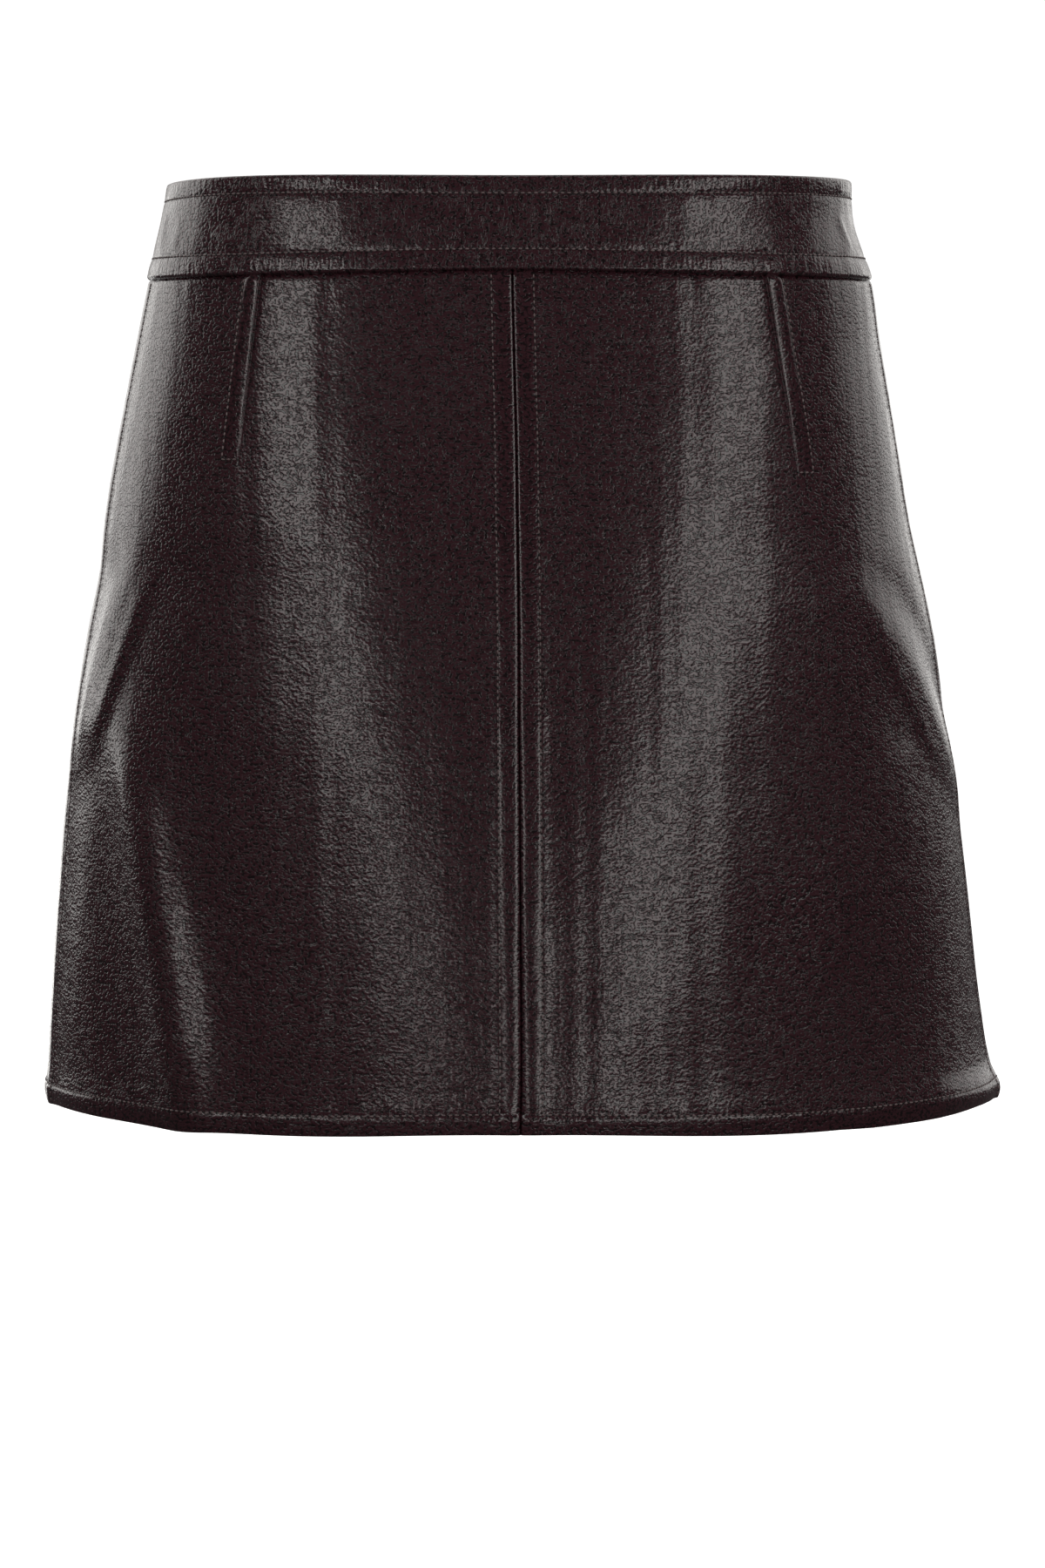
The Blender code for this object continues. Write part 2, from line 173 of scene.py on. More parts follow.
@dataclass(frozen=True)
class Crease:
    """A finer crease: a soft ridge along a route, or a trough where its height is below 0.

    Attributes:
        route: Its places from end to end, each an angle in degrees and a drop in mm.
        right_width: Its reach in mm on the right hand of its route, seen from outside.
        left_width: Its reach in mm on the left hand.
        height: Its height in mm.
    """

    route: tuple[tuple[float, float], ...]
    right_width: float
    left_width: float
    height: float


SECTIONS = (
    Section(0, 132.3, 132.8, 87.0, 88.0, 0.8, 2.40),
    Section(16, 134.5, 132.9, 89.2, 90.8, 0.8, 2.40),
    Section(39, 140.1, 140.5, 92.5, 95.0, 0.9, 2.40),
    Section(66, 145.6, 144.8, 97.0, 101.5, 1.2, 2.38),
    Section(100, 152.5, 150.7, 103.0, 109.5, 1.6, 2.35),
    Section(134, 158.4, 156.1, 108.0, 116.5, 1.8, 2.33),
    Section(151, 160.1, 160.0, 110.2, 119.0, 1.9, 2.31),
    Section(177, 165.2, 165.6, 113.0, 122.0, 2.0, 2.29),
    Section(203, 169.6, 169.9, 115.2, 123.5, 2.0, 2.27),
    Section(237, 173.3, 174.7, 117.4, 124.0, 2.1, 2.25),
    Section(288, 177.9, 180.6, 119.4, 123.0, 2.2, 2.20),
    Section(323, 180.4, 184.8, 120.2, 122.0, 2.3, 2.18),
    Section(345, 181.4, 188.6, 120.4, 121.6, 2.3, 2.17),
    Section(356, 182.3, 192.2, 120.4, 121.5, 2.2, 2.16),
    Section(HEM_DROP, 181.4, 190.2, 120.0, 121.0, 2.2, 2.15),
)

FOLDS = (
    Fold(-71, 146, -79, 226, 4.5, 1.9),
    Fold(-63, 152, -71, 230, 5.0, -0.5),
    Fold(-64, 196, -53, 372, 5.0, 1.9),
    Fold(-73, 236, -64, 372, 5.0, -1.2),
    Fold(61, 160, 81, 238, 4.5, 1.8),
    Fold(69, 154, 88, 222, 4.5, -1.2),
    Fold(55, 156, 55, 196, 4.0, 0.8),
    Fold(63, 218, 63, 256, 4.5, 0.9),
    Fold(53, 250, 51, 304, 5.0, 1.1),
    Fold(70, 262, 66, 372, 5.5, 1.1),
    Fold(-110, 144, -98, 214, 5.0, 1.8),
    Fold(108, 152, 97, 222, 5.0, 1.8),
    Fold(-124, 206, -133, 372, 6.0, 1.7),
    Fold(123, 216, 134, 372, 6.0, 1.8),
    Fold(-152, 252, -150, 334, 6.0, 1.0),
    Fold(155, 270, 152, 352, 6.0, 1.0),
)

CREASES = (
    Crease(((-64, 142), (-67.5, 166), (-69.5, 184), (-72.5, 206), (-77, 230)), 6.0, 3.0, 1.3),
    Crease(((-58, 196), (-60, 216), (-58, 240)), 3.0, 3.6, 0.5),
    Crease(
        ((-69, 180), (-67.5, 216), (-63.4, 246), (-60.6, 276), (-58.2, 302), (-54, 372), (-51, 410)), 12.0, 12.0, 4.0
    ),
    Crease(((60, 166), (66, 194), (71.5, 218), (79, 240)), 3.0, 3.4, 0.7),
    Crease(((-80, 12), (-79, 20), (-79, 30)), 2.4, 3.4, 0.5),
    Crease(((-73, 14), (-72, 22), (-73, 31)), 3.0, 2.4, 0.35),
    Crease(((72, 12), (73, 20), (74, 27), (70, 31)), 2.6, 2.2, 0.6),
    Crease(((81, 2), (82, 9), (80, 16)), 2.0, 2.0, 0.3),
)


def blend(start: float, end: float, share: float) -> float:
    """The value this share of the way from start to end."""
    return start + (end - start) * share


def ease(low: float, high: float, value: np.ndarray) -> np.ndarray:
    """0 below low, 1 above high, and a smooth rise between."""
    share = np.clip((value - low) / (high - low), 0.0, 1.0)
    return share * share * (3.0 - 2.0 * share)


def curve_at(places: np.ndarray, values: np.ndarray, slopes: np.ndarray, where: np.ndarray) -> np.ndarray:
    """Reads a smooth curve through values.

    Args:
        places: The rising places of the values.
        values: One row of values a place.
        slopes: The curve's slopes, shaped as the values are.
        where: The places to read.

    Returns:
        The values there, with the shape of where and then of a row.
    """
    low = np.clip(np.searchsorted(places, where, side="right") - 1, 0, len(places) - 2)
    span = places[low + 1] - places[low]
    share = (where - places[low]) / span
    if values.ndim > 1:
        span, share = span[..., None], share[..., None]
    rest = 1.0 - share
    ends = values[low] * (1.0 + 2.0 * share) * rest**2 + values[low + 1] * (1.0 + 2.0 * rest) * share**2
    return ends + (slopes[low] * share * rest**2 - slopes[low + 1] * rest * share**2) * span


class Profile:
    """A smooth height over a distance, through a few places and with no overshoot."""

    def __init__(self, *places: tuple[float, float]) -> None:
        """Takes the places, each a distance and a height in mm."""
        self.distances, self.heights = (np.array(column, float) for column in zip(*places))
        steps = np.diff(self.heights) / np.diff(self.distances)
        before, after = steps[:-1], steps[1:]
        same_way = before * after > 0
        self.slopes = np.zeros_like(self.heights)
        self.slopes[1:-1][same_way] = 2.0 * (before * after)[same_way] / (before + after)[same_way]

    def at(self, distance: np.ndarray) -> np.ndarray:
        """The heights at distances, which keep their end values outside the places."""
        inside = np.clip(distance, self.distances[0], self.distances[-1])
        return curve_at(self.distances, self.heights, self.slopes, inside)


class Ripple:
    """Smooth seeded unevenness on a plane, mostly from -1 to 1, whose swells are about one unit across."""

    WAVES = 14

    def __init__(self, seed: int) -> None:
        """Takes the seed of its random waves."""
        random = np.random.default_rng(seed)
        way = random.uniform(0.0, math.tau, self.WAVES)
        pace = random.uniform(1.5, 4.5, self.WAVES)
        self.across, self.down = np.cos(way) * pace, np.sin(way) * pace
        self.start = random.uniform(0.0, math.tau, self.WAVES)

    def at(self, across: np.ndarray, down: np.ndarray) -> np.ndarray:
        """The heights at places of the plane."""
        height = np.zeros(np.broadcast(across, down).shape)
        for wave in zip(self.across, self.down, self.start):
            height += np.sin(across * wave[0] + down * wave[1] + wave[2])
        return height / math.sqrt(self.WAVES)


def puckers(along: np.ndarray, off: np.ndarray, seed: int, height: float, reach: float, pitch: float) -> np.ndarray:
    """The small gathers that a row of stitches pulls up, square to the row.

    Args:
        along: Lengths along the row, in mm.
        off: Distances from the row, in mm.
        seed: The seed of their unevenness.
        height: Their height at the row, in mm.
        reach: How far from the row they fade out, in mm.
        pitch: Their usual spacing, in mm.

    Returns:
        Their heights, in mm.
    """
    fine = Ripple(seed).at(along / pitch, off / (reach * 1.6))
    coarse = Ripple(seed + 1).at(along / (pitch * 3.1), off / (reach * 2.5))
    return height * (0.45 * fine + 0.3 * coarse) * np.exp(-((off / reach) ** 2))


class WornForm:
    """The skirt's worn surface: a tube through its sections, lifted by its folds, creases and rumples."""

    ARC_ANGLES = np.arange(-188.0, 188.5, 0.5)
    ARC_DROPS = np.arange(-8.0, 377.0, 4.0)
    RUMPLES = (Ripple(3), Ripple(4))
    DRAWN = (Ripple(5), Ripple(6))

    def __init__(self, sections: Sequence[Section], folds: Sequence[Fold], creases: Sequence[Crease]) -> None:
        """Takes the rings, the folds and the creases, and measures the cloth round the tube."""
        self.drops = np.array([row.drop for row in sections], float)
        self.sizes = np.array([(row.left, row.right, row.front, row.back, row.turn, row.square) for row in sections])
        self.slopes = np.gradient(self.sizes, self.drops, axis=0)
        self.folds = folds
        angles, drops = np.meshgrid(self.ARC_ANGLES, self.ARC_DROPS)
        steps = np.linalg.norm(np.diff(self.plain(angles, drops), axis=1), axis=2)
        arcs = np.concatenate([np.zeros((len(self.ARC_DROPS), 1)), np.cumsum(steps, axis=1)], axis=1)
        self.arcs = arcs - arcs[:, np.searchsorted(self.ARC_ANGLES, 0.0)][:, None]
        self.creases = [(crease, self.on_cloth(crease.route)) for crease in creases]

    def plain(self, angle: np.ndarray, drop: np.ndarray) -> np.ndarray:
        """Points of the tube before anything lifts them, in mm."""
        rows = curve_at(self.drops, self.sizes, self.slopes, drop)
        left, right, front, back, turn, square = np.moveaxis(rows, -1, 0)
        swung = np.radians(angle + turn)
        across, ahead = np.sin(swung), np.cos(swung)
        side = np.where(across > 0, right, left)
        depth = np.where(ahead > 0, front, back)
        ring = (np.abs(across / side) ** square + np.abs(ahead / depth) ** square) ** (-1.0 / square)
        return np.stack([ring * across, -ring * ahead, WAIST_ABOVE_ORIGIN - drop], axis=-1)

    def outward(self, angle: np.ndarray, drop: np.ndarray) -> np.ndarray:
        """The tube's outward directions."""
        along = self.plain(angle + 0.5, drop) - self.plain(angle - 0.5, drop)
        down = self.plain(angle, drop + 1.0) - self.plain(angle, drop - 1.0)
        normal = np.cross(down, along)
        return normal / np.linalg.norm(normal, axis=-1, keepdims=True)

    def degree_length(self, angle: np.ndarray, drop: np.ndarray) -> np.ndarray:
        """The length of cloth that one degree spans."""
        return np.linalg.norm(self.plain(angle + 0.5, drop) - self.plain(angle - 0.5, drop), axis=-1)

    def along(self, angle: np.ndarray | float, drop: np.ndarray) -> np.ndarray:
        """The length of cloth from the centre front round to an angle, below 0 on the left."""
        read = ((angle, self.ARC_ANGLES), (drop, self.ARC_DROPS))
        steps = [(np.asarray(value, float) - places[0]) / (places[1] - places[0]) for value, places in read]
        column, row = np.broadcast_arrays(*steps)
        near = np.clip(column.astype(int), 0, len(self.ARC_ANGLES) - 2)
        top = np.clip(row.astype(int), 0, len(self.ARC_DROPS) - 2)
        upper, lower = (blend(self.arcs[i, near], self.arcs[i, near + 1], column - near) for i in (top, top + 1))
        return blend(upper, lower, row - top)

    def on_cloth(self, route: Iterable[tuple[float, float]]) -> np.ndarray:
        """A route's places as lengths round the cloth and drops, in mm."""
        angles, drops = np.array(list(route), float).T
        return np.stack([self.along(angles, drops), drops], axis=1)

    def waist_edge(self, angle: np.ndarray) -> np.ndarray:
        """The drop of the waistband's upper edge."""
        across = np.sin(np.radians(angle))
        return WAIST_DIP * (1.0 - across**2) + np.where(across > 0, *WAIST_SIDE_DIPS) * across**12

    def waist_seam(self, angle: np.ndarray) -> np.ndarray:
        """The drop of the seam under the waistband."""
        return blend(BAND_SEAM_FRONT, BAND_SEAM_SIDE, np.sin(np.radians(angle)) ** 2)

    def hem_edge(self, angle: np.ndarray) -> np.ndarray:
        """The drop of the hem."""
        across = np.sin(np.radians(angle))
        rise = np.where(across > 0, *HEM_SIDE_RISES) * across**8
        return HEM_DROP + HEM_SAG * np.sin(np.radians(2.0 * angle)) ** 2 - rise

    def folded(self, angle: np.ndarray, drop: np.ndarray) -> np.ndarray:
        """How far the folds and the creases lift the cloth."""
        height = np.zeros(np.broadcast(angle, drop).shape)
        for fold in self.folds:
            share = (drop - fold.top_drop) / (fold.low_drop - fold.top_drop)
            off_ridge = (angle - blend(fold.top_angle, fold.low_angle, share)) / fold.width
            taper = ease(-0.2, 0.25, share) * (1.0 - ease(0.75, 1.2, share))
            height += fold.height * taper * np.exp(-(off_ridge**2))
        across = self.along(angle, drop)
        for crease, route in self.creases:
            height += self.crease_height(crease, route, across, drop)
        return height

    @staticmethod
    def crease_height(crease: Crease, route: np.ndarray, across: np.ndarray, down: np.ndarray) -> np.ndarray:
        """The height of one crease.

        Args:
            crease: The crease.
            route: Its places on the cloth, in mm.
            across: Lengths round the cloth.
            down: Drops.

        Returns:
            Its height at those places of the cloth, in mm.
        """
        nearest = np.full(across.shape, np.inf)
        share, width = np.zeros(across.shape), np.ones(across.shape)
        steps = np.diff(route, axis=0)
        runs = np.linalg.norm(steps, axis=1)
        passed = 0.0
        for start, step, run in zip(route, steps, runs):
            to_x, to_y = across - start[0], down - start[1]
            reached = np.clip((to_x * step[0] + to_y * step[1]) / run**2, 0.0, 1.0)
            off_x, off_y = to_x - reached * step[0], to_y - reached * step[1]
            on_left = step[0] * off_y - step[1] * off_x < 0
            distance = off_x**2 + off_y**2
            nearer = distance < nearest
            nearest = np.where(nearer, distance, nearest)
            share = np.where(nearer, (passed + reached * run) / runs.sum(), share)
            width = np.where(nearer, np.where(on_left, crease.left_width, crease.right_width), width)
            passed += run
        taper = ease(0.0, 0.35, share) * (1.0 - ease(0.65, 1.0, share))
        return crease.height * taper * np.exp(-nearest / width**2)

    def slanted(self, across: np.ndarray, down: np.ndarray) -> np.ndarray:
        """How far down the tumbling has drawn the grain, in mm."""
        broad, small = self.DRAWN
        return 6.5 * broad.at(across / 70.0, down / 60.0) + 0.7 * small.at(across / 14.0, down / 11.0)

    def rumpled(self, across: np.ndarray, down: np.ndarray) -> np.ndarray:
        """The slight unevenness of hung cloth, longer across than down."""
        broad, small = self.RUMPLES
        return 0.09 * broad.at(across / 40.0, down / 26.0) + 0.014 * small.at(across / 12.0, down / 6.5)


@dataclass(frozen=True)
class Lines:
    """Key lines of a grid over the cloth, each at an anchor and moved from it by a shift in mm."""

    keys: tuple[tuple[float, float], ...] = ()

    @classmethod
    def at(cls, *groups: tuple[float, Iterable[float]]) -> Lines:
        """Lines from groups, each an anchor with its shifts."""
        return cls(tuple((anchor, shift) for anchor, shifts in groups for shift in shifts))

    def filled(self, scale: float, step: float) -> np.ndarray:
        """Sets plain lines between key lines that are far apart.

        Args:
            scale: The length in mm of one unit of anchor.
            step: The widest gap between lines, in mm.

        Returns:
            A row of anchors and a row of shifts.
        """
        places = list(self.keys[:1])
        for near, far in zip(self.keys, self.keys[1:]):
            count = max(1, math.ceil(((far[0] - near[0]) * scale + far[1] - near[1]) / step))
            places += [tuple(blend(a, b, i / count) for a, b in zip(near, far)) for i in range(1, count + 1)]
        return np.array(places, float).T


@dataclass
class Relief:
    """The two faces of a wall of cloth over the plain tube, in mm, with what the finishes need to know.

    Attributes:
        outer: The outer face's height over the tube.
        inner: The inner face's height, which is below 0.
        pressed: How far seams press the cloth smooth, from 0 to 1.
        turned: Where the inner face shows the turned-in film.
        gathers: How strongly stitches gather the cloth, for rows that run across and for rows that run down.
    """

    outer: np.ndarray
    inner: np.ndarray
    pressed: np.ndarray
    turned: np.ndarray
    gathers: dict[str, np.ndarray] = field(default_factory=dict)

    def gather(self, name: str, off: np.ndarray, reach: float, strength: np.ndarray | float = 1.0) -> None:
        """Adds the gathers beside a row of stitches.

        Args:
            name: The attribute, by the way that the row runs.
            off: Distances from the row, in mm.
            reach: How far from the row they fade out, in mm.
            strength: Their strength at the row.
        """
        near = strength * np.exp(-((off / reach) ** 2))
        self.gathers[name] = np.maximum(self.gathers.get(name, 0.0), near)


def add_object(
    name: str, shape: bmesh.types.BMesh, materials: Iterable[bpy.types.Material], mesh: bpy.types.Mesh | None = None
) -> bpy.types.Object:
    """Makes a smooth-shaded object of a shape, in a new mesh or in the one given, and frees the shape."""
    mesh = mesh or bpy.data.meshes.new(name)
    shape.to_mesh(mesh)
    shape.free()
    mesh.shade_smooth()
    for material in materials:
        mesh.materials.append(material)
    obj = bpy.data.objects.new(name, mesh)
    bpy.context.scene.collection.objects.link(obj)
    return obj


def report(obj: bpy.types.Object) -> None:
    """Logs a finished piece."""
    LOG.info("%s: %d faces", obj.name, len(obj.data.polygons))


def closed_shell(
    name: str,
    faces: tuple[np.ndarray, np.ndarray],
    charts: dict[str, np.ndarray],
    relief: Relief,
    materials: Sequence[bpy.types.Material],
) -> bpy.types.Object:
    """A closed shell between two faces that meet round their border.

    Args:
        name: The piece's name.
        faces: The outer and the inner face's points by row and column, in mm.
        charts: By the name of a UV map, each point's place on it, in mm.
        relief: What the finishes need to know, by row and column.
        materials: The film's material and the backing's.

    Returns:
        The new object.
    """
    rows, columns = relief.outer.shape
    shape = bmesh.new()
    for level in (0.0, 1.0):
        place = Matrix.Translation((0.0, 0.0, level))
        bmesh.ops.create_grid(shape, x_segments=columns - 1, y_segments=rows - 1, size=0.5, matrix=place)
    bmesh.ops.reverse_faces(shape, faces=[face for face in shape.faces if face.verts[0].co.z > 0.5])
    mesh = bpy.data.meshes.new(name)
    shape.to_mesh(mesh)
    shape.clear()
    spots = np.empty(len(mesh.vertices) * 3)
    mesh.vertices.foreach_get("co", spots)
    spots = spots.reshape(-1, 3)
    column = np.rint((spots[:, 0] + 0.5) * (columns - 1)).astype(int)
    row = np.rint((0.5 - spots[:, 1]) * (rows - 1)).astype(int)
    inside = spots[:, 2] > 0.5
    points = np.where(inside[:, None], faces[1][row, column], faces[0][row, column]) * MM
    mesh.vertices.foreach_set("co", points.ravel())
    corner = np.empty(len(mesh.loops), int)
    mesh.loops.foreach_get("vertex_index", corner)
    for chart_name, chart in charts.items():
        layer = mesh.uv_layers.new(name=chart_name)
        layer.data.foreach_set("uv", (chart[row[corner], column[corner]] * MM).ravel())
    for key, shares in ((PRESSED, relief.pressed), *relief.gathers.items()):
        mesh.attributes.new(key, "FLOAT", "POINT").data.foreach_set("value", shares[row, column])
    first = np.empty(len(mesh.polygons), int)
    mesh.polygons.foreach_get("loop_start", first)
    first = corner[first]
    backing = inside[first] & ~relief.turned[row[first], column[first]]
    mesh.polygons.foreach_set("material_index", backing.astype(int))
    shape.from_mesh(mesh)
    border = [vertex for vertex in shape.verts if vertex.is_boundary]
    bmesh.ops.remove_doubles(shape, verts=border, dist=1e-6)
    return add_object(name, shape, materials, mesh)


def linear(colour: str) -> tuple[float, float, float, float]:
    """The linear colour of an sRGB hex value."""
    parts = (int(colour[i : i + 2], 16) / 255.0 for i in (1, 3, 5))
    red, green, blue = (part / 12.92 if part <= 0.04045 else ((part + 0.055) / 1.055) ** 2.4 for part in parts)
    return red, green, blue, 1.0


def plug(tree: bpy.types.NodeTree, node: bpy.types.Node, inputs: dict[str | int, object]) -> None:
    """Gives a node's inputs their constants, or links them to the outputs of other nodes."""
    for socket, value in inputs.items():
        if isinstance(value, bpy.types.NodeSocket):
            tree.links.new(value, node.inputs[socket])
        else:
            node.inputs[socket].default_value = value


def add_node(
    tree: bpy.types.NodeTree, kind: str, inputs: dict[str | int, object] | None = None, out: str | int = 0,
    **settings: object,
) -> bpy.types.NodeSocket | None:
    """Adds a node to a tree.

    Args:
        tree: The tree.
        kind: The node's type.
        inputs: Constants and other nodes' outputs, by the input that they go to.
        out: The output to hand back.
        settings: The node's own settings.

    Returns:
        That output, where the node has one.
    """
    node = tree.nodes.new(kind)
    for setting, value in settings.items():
        setattr(node, setting, value)
    plug(tree, node, inputs or {})
    return node.outputs[out] if node.outputs else None


@dataclass(frozen=True)
class Finish:
    """What the finishes share: a name and how rough they are."""

    name: str
    roughness: float

    def inputs(self, tree: bpy.types.NodeTree) -> dict[str | int, object]:
        """The inputs of the finish's shader, whose patterns are added to its tree."""
        raise NotImplementedError

    def material(self) -> bpy.types.Material:
        """The finish as a material."""
        material = bpy.data.materials.new(self.name)
        material.use_nodes = True
        tree = material.node_tree
        plug(tree, tree.nodes["Principled BSDF"], self.inputs(tree))
        return material


@dataclass(frozen=True)
class GlossyVinyl(Finish):
    """Polyurethane film on a knit, tumbled: a dark mirror, broken up by fine crazing and by cracks along the grain.

    A pattern's two sizes are its length and width in mm, and a height is in mm. Its colour is darker in the cracks and
    in the pits between the domes as painted shade, which also paints a speckle standing in for the glints of the
    crazing.
    """

    name: str = "glossy_vinyl"
    roughness: float = 0.12
    film: str = "#402229"
    # Painted shade: the colour in the cracks and in the pits between the domes.
    crack: str = "#1a0e11"
    crazing: tuple[float, float] = (1.4, 1.15)
    crazing_rise: tuple[float, float] = (0.35, 0.49)
    crazing_height: float = 0.08
    unevenness: float = 0.075
    cracks: tuple[float, float] = (4.6, 1.6)
    crack_reach: float = 0.05
    crack_depth: float = 0.045
    crack_runs: tuple[float, float] = (6.5, 3.6)
    crack_runs_rise: tuple[float, float] = (0.36, 0.56)
    swell: tuple[float, float] = (3.9, 3.0)
    swell_height: float = 0.05
    gather: tuple[float, float] = (1.35, 6.5)
    gather_height: float = 0.16
    pressed_share: float = 0.3

    def uneven(
        self, tree: bpy.types.NodeTree, chart: bpy.types.NodeSocket, size: tuple[float, float], detail: float = 0.0
    ) -> bpy.types.NodeSocket:
        """Uneven levels from 0 to 1 over a chart in metres, of a length and width in mm."""
        scale = (1.0 / (size[0] * MM), 1.0 / (size[1] * MM), 1.0)
        place = add_node(tree, "ShaderNodeVectorMath", {0: chart, 1: scale}, operation="MULTIPLY")
        shape = {"Vector": place, "Scale": 1.0, "Detail": detail}
        return add_node(tree, "ShaderNodeTexNoise", shape, "Fac", noise_dimensions="2D")

    def inputs(self, tree: bpy.types.NodeTree) -> dict[str | int, object]:
        """The inputs of the finish's shader, whose patterns are added to its tree."""
        maths = partial(add_node, tree, "ShaderNodeMath")
        rise = partial(add_node, tree, "ShaderNodeMapRange", interpolation_type="SMOOTHSTEP")
        read = partial(add_node, tree, "ShaderNodeAttribute", None, "Fac")
        chart, grain = (add_node(tree, "ShaderNodeUVMap", uv_map=name) for name in (UV_NAME, GRAIN_NAME))
        off_middle = maths({0: self.uneven(tree, grain, self.cracks, 1.5), 1: 0.5}, operation="SUBTRACT")
        off_line = maths({0: off_middle}, operation="ABSOLUTE")
        unbroken = rise({"Value": off_line, "From Min": 0.0, "From Max": self.crack_reach})
        low, high = self.crack_runs_rise
        runs = rise({"Value": self.uneven(tree, grain, self.crack_runs), "From Min": low, "From Max": high})
        depth = maths({0: runs, 1: self.crack_depth}, operation="MULTIPLY")
        dip = maths({0: unbroken, 1: 1.0}, operation="SUBTRACT")
        height = maths({0: dip, 1: depth}, operation="MULTIPLY")
        level = self.uneven(tree, chart, self.crazing, 0.8)
        low, high = self.crazing_rise
        domes = rise({"Value": level, "From Min": low, "From Max": high})
        swell = self.uneven(tree, chart, self.swell)
        layers = [(domes, self.crazing_height), (level, self.unevenness), (swell, self.swell_height)]
        for name, size in ((GATHERED_ACROSS, self.gather), (GATHERED_DOWN, self.gather[::-1])):
            share = maths({0: read(attribute_name=name), 1: self.gather_height}, operation="MULTIPLY")
            layers.append((self.uneven(tree, chart, size), share))
        for layer, scale in layers:
            height = maths({0: layer, 1: scale, 2: height}, operation="MULTIPLY_ADD")
        strength = add_node(tree, "ShaderNodeMix", {0: read(attribute_name=PRESSED), 2: 1.0, 3: self.pressed_share})
        # Painted shade and painted speckle: the film's colour on the domes out of the cracks, and the darker colour in
        # the cracks and pits.
        unshaded_share = maths({0: unbroken, 1: domes}, operation="MULTIPLY")
        colours = {0: unshaded_share, 6: linear(self.crack), 7: linear(self.film)}
        return {
            "Base Color": add_node(tree, "ShaderNodeMix", colours, 2, data_type="RGBA"),
            "Normal": add_node(tree, "ShaderNodeBump", {"Distance": MM, "Height": height, "Strength": strength}),
            "Roughness": self.roughness,
            "IOR": 1.5,
        }


@dataclass(frozen=True)
class Yarns(Finish):
    """A matt cloth of yarns, in ribs one way or two.

    Attributes:
        yarn: The colour on the ribs.
        gap: The colour between them.
        ribs: The way that each set of ribs follows, and its pitch in mm.
        waver: How uneven the ribs are, and how finely.
        height: The ribs' height in mm.
        nap: How much the fine fibres brighten it at its rims.
    """

    yarn: str
    gap: str
    ribs: tuple[tuple[str, float], ...]
    waver: tuple[float, float]
    height: float
    nap: float = 0.0

    def inputs(self, tree: bpy.types.NodeTree) -> dict[str | int, object]:
        """The inputs of the finish's shader, whose patterns are added to its tree."""
        chart = add_node(tree, "ShaderNodeUVMap", uv_map=UV_NAME)
        level: object = 1.0
        for way, pitch in self.ribs:
            # A wave texture repeats every tenth of pi of a unit at a scale of 1.
            scale = math.pi / 10.0 / (pitch * MM)
            shape = {"Vector": chart, "Scale": scale, "Distortion": self.waver[0], "Detail Scale": self.waver[1]}
            wave = add_node(tree, "ShaderNodeTexWave", shape, "Fac", bands_direction=way)
            level = add_node(tree, "ShaderNodeMath", {0: wave, 1: level}, operation="MULTIPLY")
        colours = {0: level, 6: linear(self.gap), 7: linear(self.yarn)}
        return {
            "Base Color": add_node(tree, "ShaderNodeMix", colours, 2, data_type="RGBA"),
            "Normal": add_node(tree, "ShaderNodeBump", {"Distance": self.height * MM, "Height": level}),
            "Roughness": self.roughness,
            "Sheen Weight": self.nap,
        }


@dataclass(frozen=True)
class Grit(Finish):
    """A plain finish, slightly uneven from its spinning, its mould or its lacquer.

    Attributes:
        dark: The colour in its pits.
        light: The colour on its grains.
        size: The grains' size in mm.
        height: Their height in mm.
        detail: How much finer grain they carry.
        spread: How far the roughness varies.
        metallic: 1 for a metal.
    """

    dark: str
    light: str
    size: float
    height: float
    detail: float = 3.0
    spread: float = 0.06
    metallic: float = 0.0

    def inputs(self, tree: bpy.types.NodeTree) -> dict[str | int, object]:
        """The inputs of the finish's shader, whose patterns are added to its tree."""
        place = add_node(tree, "ShaderNodeTexCoord", out="Object")
        shape = {"Vector": place, "Scale": 1.0 / (self.size * MM), "Detail": self.detail}
        grains = add_node(tree, "ShaderNodeTexNoise", shape, "Fac")
        roughness: object = self.roughness
        if self.spread:
            ends = {0: grains, 2: self.roughness - self.spread, 3: self.roughness + self.spread}
            roughness = add_node(tree, "ShaderNodeMix", ends)
        colours = {0: grains, 6: linear(self.dark), 7: linear(self.light)}
        return {
            "Base Color": add_node(tree, "ShaderNodeMix", colours, 2, data_type="RGBA"),
            "Normal": add_node(tree, "ShaderNodeBump", {"Distance": self.height * MM, "Height": grains}),
            "Roughness": roughness,
            "Metallic": self.metallic,
        }


# Polyester jersey behind the film: matt, with fine ribs of loops and a slight nap.
KNIT_BACKING = Yarns("knit_backing", 0.92, "#2a2123", "#171011", (("X", 1.3), ("Y", 1.0)), (0.6, 2.0), 0.12, 0.25)
# Polyester twill: matt, with fine slanting ribs.
WOVEN_TAPE = Yarns("woven_tape", 0.85, "#2b2223", "#120c0d", (("DIAGONAL", 0.7),), (0.4, 1.0), 0.1)
# Bonded polyester: satin, with a fine twist that catches the light in dots.
SPUN_THREAD = Grit("spun_thread", 0.42, "#574747", "#9a8787", 0.45, 0.06, detail=1.0, spread=0.0)
# Painted shade: a near-black matt spot at each end of a stitch, standing for the shade in the dent where the thread
# goes into the film.
NEEDLE_HOLE_SHADE = Grit("needle_hole", 0.6, "#0d0708", "#140b0d", 1.0, 0.01)
# Moulded coil: a soft, even sheen.
MOULDED_NYLON = Grit("moulded_nylon", 0.42, "#1c1516", "#2a2122", 1.5, 0.02)
# Die-cast zinc under a dark lacquer: a clear but darkened metal shine.
LACQUERED_ZINC = Grit("lacquered_zinc", 0.3, "#3a3433", "#575050", 0.8, 0.008, metallic=1.0)


